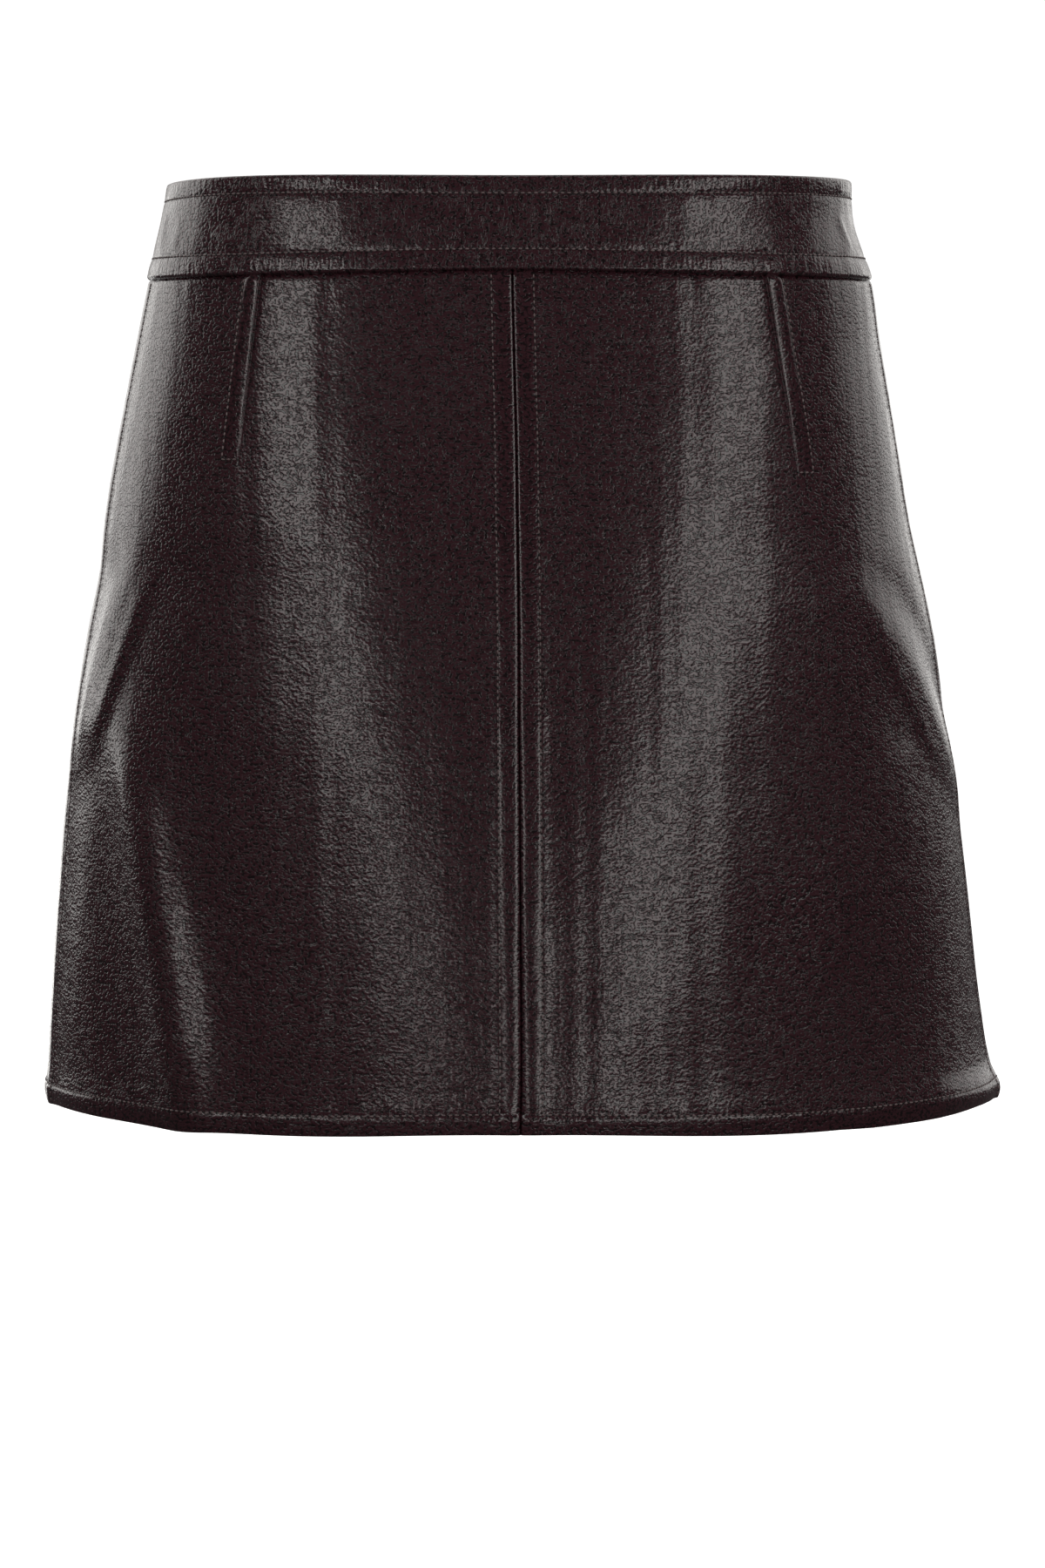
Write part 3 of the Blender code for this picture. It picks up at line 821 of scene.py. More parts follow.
@dataclass
class ClothPiece:
    """A cut piece of the skirt, as a shell with two faces over the worn form.

    Its key lines down it are given for the right side of the skirt. Those round it have their anchors at shares of
    the way down it. Its flat size and area are those of the cut that shows, in metres.
    """

    form: WornForm
    side: Side = Side.RIGHT
    column_step: float = 1.9
    row_step: float = 1.75
    nose: float = 0.45

    NODE = "{side}"
    FAMILY = "vinyl"
    SLOT = "vinyl"
    FLAT = (0.0, 0.0)
    AREA: ClassVar[float | None] = None
    RESTS_ON = ""
    COLUMNS = Lines()
    ROWS = Lines()

    @property
    def node(self) -> str:
        """The solid that the piece stands for."""
        return self.NODE.format(side=self.side.word)

    def edges(self, angle: np.ndarray) -> tuple[np.ndarray, np.ndarray]:
        """The drops of the piece's upper and lower edges."""
        raise NotImplementedError

    def relief(self, angle: np.ndarray, drop: np.ndarray) -> Relief:
        """The two faces at places of the piece."""
        raise NotImplementedError

    def sewn(self) -> Iterator[tuple[np.ndarray, np.ndarray, bool]]:
        """The piece's rows of stitches, each its angles, its drops and whether it is on the inner face."""
        yield from ()

    def shifted(self, anchor: np.ndarray, shift: np.ndarray, drop: np.ndarray) -> np.ndarray:
        """The columns' shifts from their anchors, which may change with the drop."""
        return np.broadcast_to(shift, drop.shape)

    def out(self, angle: np.ndarray, drop: np.ndarray) -> np.ndarray:
        """Lengths of cloth from the centre front, growing away from it on this side."""
        return self.side.value * self.form.along(angle, drop)

    def grid(self) -> tuple[np.ndarray, np.ndarray]:
        """The angle and the drop of each point of the piece, by row and column."""
        anchor, shift = self.COLUMNS.filled(float(self.form.degree_length(60.0, HEM_DROP)), self.column_step)
        if self.side is Side.LEFT:
            anchor, shift = -anchor[::-1], -shift[::-1]
        top, bottom = self.edges(np.float64(0.0))
        share, lower = self.ROWS.filled(float(bottom - top), self.row_step)
        top, bottom = self.edges(anchor)
        drop = top[None, :] + (bottom - top)[None, :] * share[:, None] + lower[:, None]
        shifts = self.shifted(anchor[None, :], shift[None, :], drop)
        return anchor[None, :] + shifts / self.form.degree_length(np.broadcast_to(anchor, drop.shape), drop), drop

    def on_face(self, angle: np.ndarray, drop: np.ndarray, height: np.ndarray) -> np.ndarray:
        """Points at a height over the tube, in mm."""
        return self.form.plain(angle, drop) + self.form.outward(angle, drop) * height[..., None]

    def grain(self, across: np.ndarray, down: np.ndarray) -> tuple[np.ndarray, np.ndarray]:
        """Where the cloth's grain puts its places: level cracks there are slanting and wavy on the cloth."""
        return across, self.form.slanted(across, down) - down

    def make(self, film: bpy.types.Material, backing: bpy.types.Material) -> bpy.types.Object:
        """Builds the piece's closed shell, with its edges rounded, and gives it its place in the frame."""
        angle, drop = self.grid()
        relief = self.relief(angle, drop)
        steps_across = np.linalg.norm(np.diff(self.form.plain(angle, drop), axis=1), axis=2)
        from_first = np.concatenate([np.zeros((len(drop), 1)), np.cumsum(steps_across, axis=1)], axis=1)
        from_last = from_first[:, -1:] - from_first
        reach = np.minimum(np.minimum(from_first, from_last), np.minimum(drop - drop[:1], drop[-1:] - drop))
        open_share = np.sqrt(1.0 - (1.0 - np.clip(reach / self.nose, 0.0, 1.0)) ** 2)
        middle = (relief.outer + relief.inner) / 2.0
        faces = tuple(
            self.on_face(angle, drop, middle + (face - middle) * open_share) for face in (relief.outer, relief.inner)
        )
        across = self.form.along(angle, drop)
        charts = {
            UV_NAME: np.stack([across, -drop], axis=-1),
            GRAIN_NAME: np.stack(self.grain(across, drop), axis=-1),
        }
        obj = closed_shell(f"{self.FAMILY}_{self.node}", faces, charts, relief, (film, backing))
        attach(obj, "skirt")
        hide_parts(self.node)
        rests_on = [self.RESTS_ON.format(side=self.side.word)] if self.RESTS_ON else []
        report(obj)
        return obj


@dataclass(frozen=True)
class LongEdge:
    """How a long edge of a panel is sewn.

    Attributes:
        face: The outer face's height over distances from the edge.
        stitch: How far from the edge its stitches draw the cloth in. It is 0 at a plain seam.
        pucker: The height, the reach and the pitch of the puckers there, in mm.
        gather: The reach in mm and the strength of the finer gathers.
        pressed: Whether its allowance is pressed smooth.
    """

    face: Profile
    stitch: float
    pucker: tuple[float, float, float]
    gather: tuple[float, float]
    pressed: bool = True


@dataclass
class Panel(ClothPiece):
    """What the front and the back panels share: waist seam, turned-up hem, a dart and two long edges."""

    wall: float = 1.15
    turn_in: float = 0.85

    HEM_FACE = Profile(
        (0, 0.22), (0.5, 0.32), (1.5, 0.4), (4, 0.44), (6.6, 0.38), (7.4, 0.2), (8, -0.04), (8.6, 0.0), (10, 0), (12, 0)
    )
    WAIST_FACE = Profile((-2.2, -0.8), (0, -0.6), (0.5, -0.42), (1.2, -0.12), (2.4, 0))
    DART_FACE = Profile(
        (-3, 0), (-1.0, -0.05), (-0.45, -0.35), (-0.28, -0.5), (-0.15, -0.1), (0, 0.7), (0.15, 0.95), (0.4, 1.1),
        (1, 1.2), (2, 1.28), (3.5, 1.3), (5.5, 1.0), (6.4, 0.68), (7, 0.42), (7.6, 0.38), (8.6, 0.15), (9.5, 0.05),
        (12, 0),
    )
    ROWS = Lines.at(
        (0.0, (-2.2, -2.1, -1.9, -1.4, -0.7, -0.2, 0.0, 0.2, 0.4, 0.75, 1.2, 2.0, 4.0)),
        (1.0, (-12, -10.4, -10.0, -9.7, -8.7, -8, -7.3, -6.6, -4, -2, -1, -0.6, -0.35, -0.15, -0.04, 0)),
    )
    MIDDLE_EDGE: ClassVar[LongEdge]
    SIDE_EDGE: ClassVar[LongEdge]
    # The middle row's anchor, its shift in mm and the angle that gives its corner at the hem, on the right side.
    MIDDLE_ROW = (0.0, 0.0, 0.0)
    DART = 0.0
    DART_WAY = 1.0
    DART_LENGTHS = {Side.LEFT: 0.0, Side.RIGHT: 0.0}
    SEEDS = {Side.LEFT: 0, Side.RIGHT: 0}

    def edges(self, angle: np.ndarray) -> tuple[np.ndarray, np.ndarray]:
        """The drops of the piece's upper and lower edges."""
        return self.form.waist_seam(angle), self.form.hem_edge(angle)

    def from_edges(self, angle: np.ndarray, drop: np.ndarray) -> tuple[np.ndarray, np.ndarray, np.ndarray]:
        """Distances from the middle edge, from the side edge and, over its flap, from the dart's fold."""
        raise NotImplementedError

    def relief(self, angle: np.ndarray, drop: np.ndarray) -> Relief:
        """The two faces at places of the piece."""
        across, folded = self.form.along(angle, drop), self.form.folded(angle, drop)
        above_hem = self.form.hem_edge(angle) - drop
        below_band = drop - self.form.waist_seam(angle)
        outer = folded + self.form.rumpled(across, drop)
        outer += self.HEM_FACE.at(above_hem) + self.WAIST_FACE.at(below_band)
        for off, seed, *size in (
            (above_hem - HEM_STITCH, 31, 0.2, 5.0, 2.9),
            (np.minimum(above_hem - 3.0, 0.0), 33, 0.1, 4.0, 4.5),
            (below_band, 35, 0.1, 9.0, 3.6),
        ):
            outer += puckers(across, off, seed, *size)
        hem = self.turn_in * (1.0 - ease(HEM_ALLOWANCE - ALLOWANCE_EDGE, HEM_ALLOWANCE, above_hem))
        pressed = 0.5 * (1.0 - ease(HEM_STITCH - 1.0, HEM_STITCH + 1.0, above_hem))
        relief = Relief(outer, folded - self.wall - hem, pressed, above_hem < HEM_ALLOWANCE)
        relief.gather(GATHERED_ACROSS, np.maximum(above_hem - HEM_STITCH, 0.0), 3.5)
        relief.gather(GATHERED_ACROSS, below_band, 6.0, 0.5)
        middle, side, past_dart = self.from_edges(angle, drop)
        seed = self.SEEDS[self.side]
        for off, edge in ((middle, self.MIDDLE_EDGE), (side, self.SIDE_EDGE)):
            self.sew_edge(relief, drop, off, edge, seed)
            seed += 2
        self.sew_dart(relief, drop, past_dart, seed)
        return relief

    def sew_edge(self, relief: Relief, drop: np.ndarray, off: np.ndarray, edge: LongEdge, seed: int) -> None:
        """Shapes the cloth beside a long edge and adds the allowance that lies inside along it.

        Args:
            relief: The two faces, which it changes.
            drop: The drops.
            off: Distances from the edge.
            edge: How the edge is sewn.
            seed: The seed of its puckers.
        """
        relief.outer += edge.face.at(off) + puckers(drop, off - edge.stitch, seed, *edge.pucker)
        relief.gather(GATHERED_DOWN, off - edge.stitch, *edge.gather)
        inside = self.turn_in * (1.0 - ease(ALLOWANCE - ALLOWANCE_EDGE, ALLOWANCE, off))
        relief.inner = relief.inner - inside * (1.0 - 0.5 * relief.turned)
        relief.turned |= off < ALLOWANCE
        if edge.pressed:
            relief.pressed = np.maximum(relief.pressed, 0.85 * (1.0 - ease(7.5, 9.5, off)))

    def sew_dart(self, relief: Relief, drop: np.ndarray, past: np.ndarray, seed: int) -> None:
        """Raises the dart's flap, which runs out at its lower end.

        Args:
            relief: The two faces, which it changes.
            drop: The drops.
            past: Distances from the dart's fold, over its flap.
            seed: The seed of its puckers.
        """
        left = 1.0 - (drop - self.form.waist_seam(self.DART)) / self.DART_LENGTHS[self.side]
        dart = np.clip(left, 0.0, 1.0) ** 0.6
        row = past - DART_STITCH
        relief.outer += self.DART_FACE.at(past) * dart + puckers(drop, row, seed, 0.12, 3.0, 3.0) * dart
        relief.outer += puckers(drop, np.minimum(past, 0.0), seed + 2, 0.05, 7.0, 3.4) * dart
        flap = (1.0 - ease(DART_STITCH, DART_STITCH + 2.0, past)) * ease(-0.6, 0.2, past)
        relief.pressed = np.maximum(relief.pressed, 0.9 * flap * ease(0.0, 0.15, dart))
        relief.gather(GATHERED_DOWN, row, 2.6, 0.5 * dart)

    def beside(self, anchor: float, shift: np.ndarray | float, drop: np.ndarray) -> np.ndarray:
        """The angles of a line beside an anchor, moved from it by a shift in mm."""
        return anchor + shift / self.form.degree_length(np.full(drop.shape, anchor), drop)

    def upright(self, anchor: float, shift: float, top: float, bottom: float) -> tuple[np.ndarray, np.ndarray]:
        """A row down the cloth, as angles and drops."""
        drop = np.linspace(top, bottom, max(4, int(bottom - top)))
        return self.beside(anchor, shift, drop), drop

    def sewn(self) -> Iterator[tuple[np.ndarray, np.ndarray, bool]]:
        """The rows of the panel: the middle edge and the hem in one run, then the dart."""
        way = self.side.value
        anchor, shift, corner = (way * value for value in self.MIDDLE_ROW)
        waist, hem = self.form.waist_seam(anchor) + 1.0, self.form.hem_edge(corner) - HEM_STITCH
        angle, drop = self.upright(anchor, shift, float(waist), float(hem))
        across = np.linspace(angle[-1], way * SIDE_SEAM, HEM_ROW_POINTS)[1:]
        along_hem = self.form.hem_edge(across) - HEM_STITCH
        yield np.concatenate([angle, across]), np.concatenate([drop, along_hem]), False
        yield from self.sewn_side()
        anchor, shift = way * self.DART, way * self.DART_WAY * DART_STITCH
        seam = float(self.form.waist_seam(anchor))
        angle, drop = self.upright(anchor, shift, seam + 1.0, seam + self.DART_LENGTHS[self.side] - 1.0)
        turn = np.linspace(1.0, 0.0, 8)[1:]
        low = np.full(turn.shape, drop[-1])
        closing = self.beside(anchor, shift * turn, low)
        yield np.concatenate([angle, closing]), np.concatenate([drop, low]), False

    def sewn_side(self) -> Iterator[tuple[np.ndarray, np.ndarray, bool]]:
        """The row beside the side seam, where the panel has one."""
        yield from ()


@dataclass
class FrontPanel(Panel):
    """A front panel: topstitched beside the centre-front seam, the dart and the side seam."""

    NODE = "front_panel_{side}"
    FLAT = (0.262, 0.344)
    AREA = 0.0745
    RESTS_ON = "vinyl_waistband_front"
    MIDDLE_EDGE = LongEdge(
        Profile(
            (-0.1, -0.9), (0.1, -0.55), (0.25, -0.1), (0.5, 0.2), (0.9, 0.37), (1.4, 0.48), (2.2, 0.56), (3.5, 0.62),
            (5.5, 0.56), (7.2, 0.44), (8, 0.26), (8.8, 0.27), (10.4, 0.12), (12.5, 0),
        ),
        FRONT_STITCH, (0.1, 3.0, 3.1), (2.2, 0.5),
    )
    SIDE_EDGE = LongEdge(
        Profile(
            (0, -1.0), (0.2, -0.6), (0.5, -0.05), (0.9, 0.35), (1.6, 0.65), (4, 0.8), (6.8, 0.62), (7.4, 0.46),
            (8, 0.26), (8.6, 0.3), (10.5, 0.08), (12.5, 0),
        ),
        SIDE_STITCH, (0.14, 3.6, 3.3), (3.0, 0.6),
    )
    MIDDLE_ROW = (0.0, FRONT_STITCH, 4.0)
    DART = 52.2
    DART_LENGTHS = {Side.LEFT: 71.0, Side.RIGHT: 76.0}
    SEEDS = {Side.LEFT: 60, Side.RIGHT: 40}
    COLUMNS = Lines.at(
        (0.0, (-0.08, 0.0, 0.08, 0.18, 0.3, 0.45, 0.6, 0.9, 1.3, 2, 3.5, 5.5, 6.7, 7.4, 8, 8.6, 9.3, 10.4, 12.5)),
        (DART, (-3, -1.2, -0.7, -0.45, -0.28, -0.15, 0, 0.15, 0.32, 0.55, 1, 2, 3.5, 5.5, 6.4, 7, 7.6, 8.6, 9.5, 12)),
        (SIDE_SEAM, (
            -12.5, -10.5, -9.3, -8.6, -8, -7.4, -6.8, -5.4, -4, -2.6, -1.6, -1.1, -0.8, -0.5, -0.3, -0.15, -0.04, 0.08
        )),
    )

    def from_edges(self, angle: np.ndarray, drop: np.ndarray) -> tuple[np.ndarray, np.ndarray, np.ndarray]:
        """Distances from the middle edge, from the side edge and, over its flap, from the dart's fold."""
        out = self.out(angle, drop)
        side, dart = (self.out(self.side.value * anchor, drop) for anchor in (SIDE_SEAM, self.DART))
        return out, side - out, out - dart

    def sewn_side(self) -> Iterator[tuple[np.ndarray, np.ndarray, bool]]:
        """The row beside the side seam."""
        anchor = self.side.value * SIDE_SEAM
        top, bottom = self.edges(np.float64(anchor))
        row = self.upright(anchor, -self.side.value * SIDE_STITCH, float(top) + 1.0, float(bottom) - 1.0)
        yield *row, False


@dataclass
class BackPanel(Panel):
    """A back panel: topstitched beside the dart and the zip, and closed below the zip by a plain seam."""

    NODE = "back_panel_{side}"
    FLAT = (0.292, 0.344)
    AREA = 0.0855
    RESTS_ON = "vinyl_waistband_back_{side}"
    MIDDLE_EDGE = LongEdge(
        Profile(
            (0, -0.5), (0.25, -0.1), (0.6, 0.15), (1.2, 0.35), (2.2, 0.5), (4, 0.6), (6, 0.52), (7.6, 0.35),
            (8.5, 0.16), (9.3, 0.22), (11, 0.08), (13, 0),
        ),
        ZIP_STITCH, (0.12, 3.4, 3.1), (3.0, 0.6),
    )
    SIDE_EDGE = LongEdge(
        Profile((0, -1.0), (0.3, -0.6), (0.8, -0.2), (2, 0), (3, 0)), 0.0, (0.14, 4.0, 3.3), (3.0, 0.4), False
    )
    MIDDLE_ROW = (BACK, -ZIP_ROW, BACK)
    DART = 130.0
    DART_WAY = -1.0
    DART_LENGTHS = {Side.LEFT: 94.0, Side.RIGHT: 94.0}
    SEEDS = {Side.LEFT: 100, Side.RIGHT: 80}
    COLUMNS = Lines.at(
        (SIDE_SEAM, (-0.08, 0.04, 0.15, 0.3, 0.5, 0.8, 1.2, 2, 3.5)),
        (DART, (
            -12, -9.5, -8.6, -7.6, -7, -6.4, -5.5, -3.5, -2, -1, -0.55, -0.32, -0.15, 0, 0.15, 0.28, 0.45, 0.7, 1.2, 3
        )),
        (BACK, (-13, -11, -9.9, -9.2, -8.5, -7.8, -7, -5.5, -4, -2.9, -2.2, -1.8, -1.5, -1.3, -1.1, -1, -0.95)),
    )
    # How far from the centre back the columns move with the edge at the zip.
    MOVED_REACH = 4.0

    def zip_edge(self, drop: np.ndarray) -> np.ndarray:
        """How far the edge stands from the centre back, which closes up under the zip."""
        return blend(ZIP_GAP / 2.0, -0.08, ease(ZIP_DROP - ZIP_OPENING_FADE, ZIP_DROP, drop))

    def shifted(self, anchor: np.ndarray, shift: np.ndarray, drop: np.ndarray) -> np.ndarray:
        """The columns' shifts, with those next to the zip moved as its edge is."""
        size, reach = np.abs(shift), self.MOVED_REACH
        share = (size - ZIP_GAP / 2.0) / (reach - ZIP_GAP / 2.0)
        moved = np.sign(shift) * blend(self.zip_edge(drop), reach, share)
        return np.where((np.abs(anchor) == BACK) & (size < reach), moved, np.broadcast_to(shift, drop.shape))

    def from_edges(self, angle: np.ndarray, drop: np.ndarray) -> tuple[np.ndarray, np.ndarray, np.ndarray]:
        """Distances from the middle edge, from the side edge and, over its flap, from the dart's fold."""
        out = self.out(angle, drop)
        side, dart, back = (self.out(self.side.value * anchor, drop) for anchor in (SIDE_SEAM, self.DART, BACK))
        return back - out - self.zip_edge(drop), out - side, dart - out


@dataclass
class Waistband(ClothPiece):
    """A length of the doubled waistband, topstitched along both edges."""

    column_step: float = 1.35
    row_step: float = 1.25
    nose: float = 1.0
    inside: float = 1.4

    UPPER_FACE = Profile(
        (0, 0.75), (1, 0.9), (3, 1.05), (6, 1.08), (6.5, 0.98), (7, 0.84), (7.5, 0.98), (8.2, 1.15), (12, 1.45),
        (17, 1.55),
    )
    LOWER_FACE = Profile(
        (0, 1.35), (1, 1.48), (4, 1.5), (7, 1.36), (7.5, 1.2), (8, 1.06), (8.5, 1.18), (9.3, 1.3), (13, 1.5), (17, 1.55)
    )
    END_FACE = Profile((0, -0.7), (0.3, -0.45), (0.9, -0.12), (2.2, 0))
    END = (0.04, 0.12, 0.25, 0.5, 0.8, 1.2, 2.2)
    ROWS = Lines.at(
        (0.0, (0, 0.06, 0.2, 0.45, 0.8, 1.3, 3, 5.4, 6.4, 7, 7.6, 8.6)),
        (0.5, (0.0,)),
        (1.0, (-9.6, -8.6, -8, -7.4, -6.4, -4, -2, -1.3, -0.8, -0.45, -0.2, -0.06, 0)),
    )
    # The anchors of its two ends on the right side, and how far its last end stands from its anchor.
    ENDS = (0.0, 0.0, 0.0)

    def edges(self, angle: np.ndarray) -> tuple[np.ndarray, np.ndarray]:
        """The drops of the piece's upper and lower edges."""
        return self.form.waist_edge(angle), self.form.waist_seam(angle)

    def grain(self, across: np.ndarray, down: np.ndarray) -> tuple[np.ndarray, np.ndarray]:
        """Where the cloth's grain puts its places: the band is cut across it, so that its cracks are upright."""
        return down, self.form.slanted(across, down) + across

    def relief(self, angle: np.ndarray, drop: np.ndarray) -> Relief:
        """The two faces at places of the piece."""
        across = self.form.along(angle, drop)
        top, bottom = self.edges(angle)
        below, above = drop - top, bottom - drop
        upper_row, lower_row = below - BAND_UPPER_STITCH, above - BAND_LOWER_STITCH
        outer = np.where(below < above, self.UPPER_FACE.at(below), self.LOWER_FACE.at(above))
        outer = outer + self.form.folded(angle, drop) + 0.6 * self.form.rumpled(across, drop)
        for off, seed, *size in (
            (upper_row, 11, 0.12, 4.2, 5.0),
            (lower_row, 13, 0.12, 4.2, 5.4),
            (np.minimum(below - 3.0, 0.0), 15, 0.08, 3.0, 5.0),
            (np.minimum(above - 3.0, 0.0), 17, 0.08, 3.0, 5.1),
        ):
            outer += puckers(across, off, seed, *size)
        inner = np.full(drop.shape, -self.inside) - puckers(across, upper_row, 19, 0.15, 4.0, 2.6)
        out = self.out(angle, drop)
        first, last = (self.out(self.side.value * anchor, drop) for anchor in self.ENDS[:2])
        outer += self.END_FACE.at(out - first) + self.END_FACE.at(last - out - self.ENDS[2])
        relief = Relief(outer, inner, np.zeros(drop.shape), np.ones(drop.shape, bool))
        for off in (upper_row, lower_row):
            relief.gather(GATHERED_ACROSS, np.maximum(off, 0.0), 2.2)
        return relief

    def sewn(self) -> Iterator[tuple[np.ndarray, np.ndarray, bool]]:
        """The two rows of the waistband, seen outside and inside."""
        angle = self.grid()[0][0][2:-2]
        top, bottom = self.edges(angle)
        for drop in (top + BAND_UPPER_STITCH, bottom - BAND_LOWER_STITCH):
            for inner in (False, True):
                yield angle, drop, inner


@dataclass
class FrontBand(Waistband):
    """The waistband's front length, with no seam at its middle."""

    NODE = "waistband_front"
    FLAT = (0.364, 0.0384)
    ENDS = (-SIDE_SEAM, SIDE_SEAM, 0.0)
    COLUMNS = Lines.at(
        (-SIDE_SEAM, Waistband.END), (0.0, (0.0,)), (SIDE_SEAM, [-shift for shift in reversed(Waistband.END)])
    )


@dataclass
class BackBand(Waistband):
    """A back length of the waistband, from the side seam to the zip."""

    NODE = "waistband_back_{side}"
    FLAT = (0.209, 0.0384)
    ENDS = (SIDE_SEAM, BACK, ZIP_GAP / 2.0)
    COLUMNS = Lines.at(
        (SIDE_SEAM, Waistband.END), (BACK, [-shift - ZIP_GAP / 2.0 for shift in (3.0, 1.4, 0.9, 0.5, 0.2, 0.06, 0.0)])
    )


@dataclass
class ZipTape(ClothPiece):
    """A woven tape of the zip, behind the cloth beside the centre back."""

    column_step: float = 1.6
    row_step: float = 2.5
    nose: float = 0.35
    top_drop: float = 2.0
    behind: float = 2.0
    wall: float = 0.8

    NODE = "zip_tape_{side}"
    FAMILY = "woven"
    SLOT = "zip_tape"
    FLAT = (0.0105, 0.17)
    AREA = 0.0017
    EDGE = (0.0, 0.05, 0.15, 0.35)
    COLUMNS = Lines.at((BACK, (-12.0, -11.95, -11.85, -11.65, -3.55, -3.35, -3.25, -3.2)))
    ROWS = Lines.at((0.0, EDGE), (1.0, [-shift for shift in reversed(EDGE)]))

    def edges(self, angle: np.ndarray) -> tuple[np.ndarray, np.ndarray]:
        """The drops of the piece's upper and lower edges."""
        return self.top_drop + 0.0 * angle, ZIP_DROP + 0.0 * angle

    def relief(self, angle: np.ndarray, drop: np.ndarray) -> Relief:
        """The two faces at places of the piece."""
        outer = np.full(drop.shape, -self.behind)
        return Relief(outer, outer - self.wall, np.zeros(drop.shape), np.ones(drop.shape, bool))


def read_at(run: np.ndarray, values: np.ndarray, where: float) -> Vector:
    """The vector at a length along a run, between the rows of values."""
    return Vector([np.interp(where, run, values[:, axis]) for axis in range(3)])


@dataclass
class Topstitching:
    """Rows of topstitching, each stitch a short thread lying in its own dent of the cloth, with a spot of painted shade
    at its needle hole.
    """

    width: float = 0.7
    height: float = 0.5
    length: float = 1.6
    lift: float = 0.16
    # The width and the height of the near-black spot of painted shade at each needle hole.
    hole: float = 0.95
    hole_height: float = 0.3

    def row(self, piece: ClothPiece, angle: np.ndarray, drop: np.ndarray, inner: bool) -> list[Matrix]:
        """The stitches along a row.

        Args:
            piece: The piece that is stitched.
            angle: The row's angles, close together.
            drop: The row's drops.
            inner: Whether the row is on the piece's inner face.

        Returns:
            A frame for each stitch, whose Z runs along it and whose Y comes out of the cloth.
        """
        relief = piece.relief(angle, drop)
        points = piece.on_face(angle, drop, relief.inner - self.lift if inner else relief.outer + self.lift)
        outward = piece.form.outward(angle, drop) * (-1.0 if inner else 1.0)
        run = np.concatenate([[0.0], np.cumsum(np.linalg.norm(np.diff(points, axis=0), axis=1))])
        count = int(run[-1] / STITCH_PITCH)
        size = Matrix.Diagonal((self.width * MM, self.height * MM, self.length * MM, 1.0))
        frames = []
        for i in range(count):
            ends = [(i + share) * run[-1] / count for share in (0.08, 0.5, 0.92)]
            start, middle, end = (read_at(run, points, place) for place in ends)
            along = (end - start).normalized()
            across = read_at(run, outward, ends[1]).cross(along).normalized()
            turn = Matrix((across, along.cross(across), along)).transposed().to_4x4()
            frames.append(Matrix.Translation(middle * MM) @ turn @ size)
        return frames

    def template(self) -> bpy.types.Mesh:
        """One stitch, a unit long, with a near-black spot of painted shade at the needle hole where it ends."""
        shape = bmesh.new()
        bmesh.ops.create_uvsphere(shape, u_segments=6, v_segments=4, radius=0.5)
        threads = len(shape.faces)
        size = (self.hole / self.width, self.hole_height / self.height, self.hole / self.length, 1.0)
        place = Matrix.Translation((0.0, -0.1, STITCH_PITCH / self.length / 2.0)) @ Matrix.Diagonal(size)
        place = place @ Matrix.Rotation(math.pi / 2.0, 4, "X")
        bmesh.ops.create_uvsphere(shape, u_segments=6, v_segments=3, radius=0.5, matrix=place)
        shape.faces.ensure_lookup_table()
        # The spot's faces take the second material, the painted shade.
        for face in shape.faces[threads:]:
            face.material_index = 1
        stitch = bpy.data.meshes.new("stitch")
        shape.to_mesh(stitch)
        shape.free()
        return stitch

    def make(
        self, name: str, pieces: Iterable[ClothPiece], thread: bpy.types.Material, hole: bpy.types.Material
    ) -> bpy.types.Object:
        """Builds the stitches of some pieces as one piece.

        Args:
            name: Its name.
            pieces: The pieces that are sewn.
            thread: The thread's material.
            hole: The material of the spots of painted shade at the needle holes.

        Returns:
            The new object.
        """
        shape = bmesh.new()
        stitch = self.template()
        for frame in (frame for piece in pieces for row in piece.sewn() for frame in self.row(piece, *row)):
            placed = stitch.copy()
            placed.transform(frame)
            shape.from_mesh(placed)
            bpy.data.meshes.remove(placed)
        bpy.data.meshes.remove(stitch)
        obj = add_object(name, shape, (thread, hole))
        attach(obj, "skirt")
        report(obj)
        return obj


@dataclass
class ZipCoil:
    """The nylon coil: two rows of teeth that meet in the middle."""

    form: WornForm
    top_drop: float = 12.6
    pitch: float = 1.3
    tooth: tuple[float, float, float] = (3.1, 1.5, 0.85)
    edge: float = 0.28
    behind: float = 2.9
    reach: float = 1.25

    def make(self, nylon: bpy.types.Material) -> bpy.types.Object:
        """Builds both rows of teeth as one piece."""
        shape = bmesh.new()
        size = Matrix.Diagonal((*(Vector(self.tooth) * MM), 1.0))
        back, across = np.float64(BACK), Vector((1.0, 0.0, 0.0))
        for i in range(int((ZIP_DROP - self.top_drop) / self.pitch)):
            drop = np.float64(self.top_drop + (i + 0.5) * self.pitch)
            out = Vector(self.form.outward(back, drop))
            place = Vector(self.form.plain(back, drop)) - out * self.behind
            turn = Matrix((across, out, across.cross(out))).transposed().to_4x4()
            reach = Matrix.Translation(((self.reach if i % 2 else -self.reach) * MM, 0.0, 0.0))
            frame = Matrix.Translation(place * MM) @ turn @ reach @ size
            bmesh.ops.create_cube(shape, size=1.0, matrix=frame)
        bmesh.ops.bevel(
            shape, geom=shape.edges[:], offset=self.edge * MM, segments=1, profile=0.5, affect="EDGES", material=-1
        )
        obj = add_object("zip_coil", shape, (nylon,))
        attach(obj, "skirt")
        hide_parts("zip_chain")
        report(obj)
        return obj


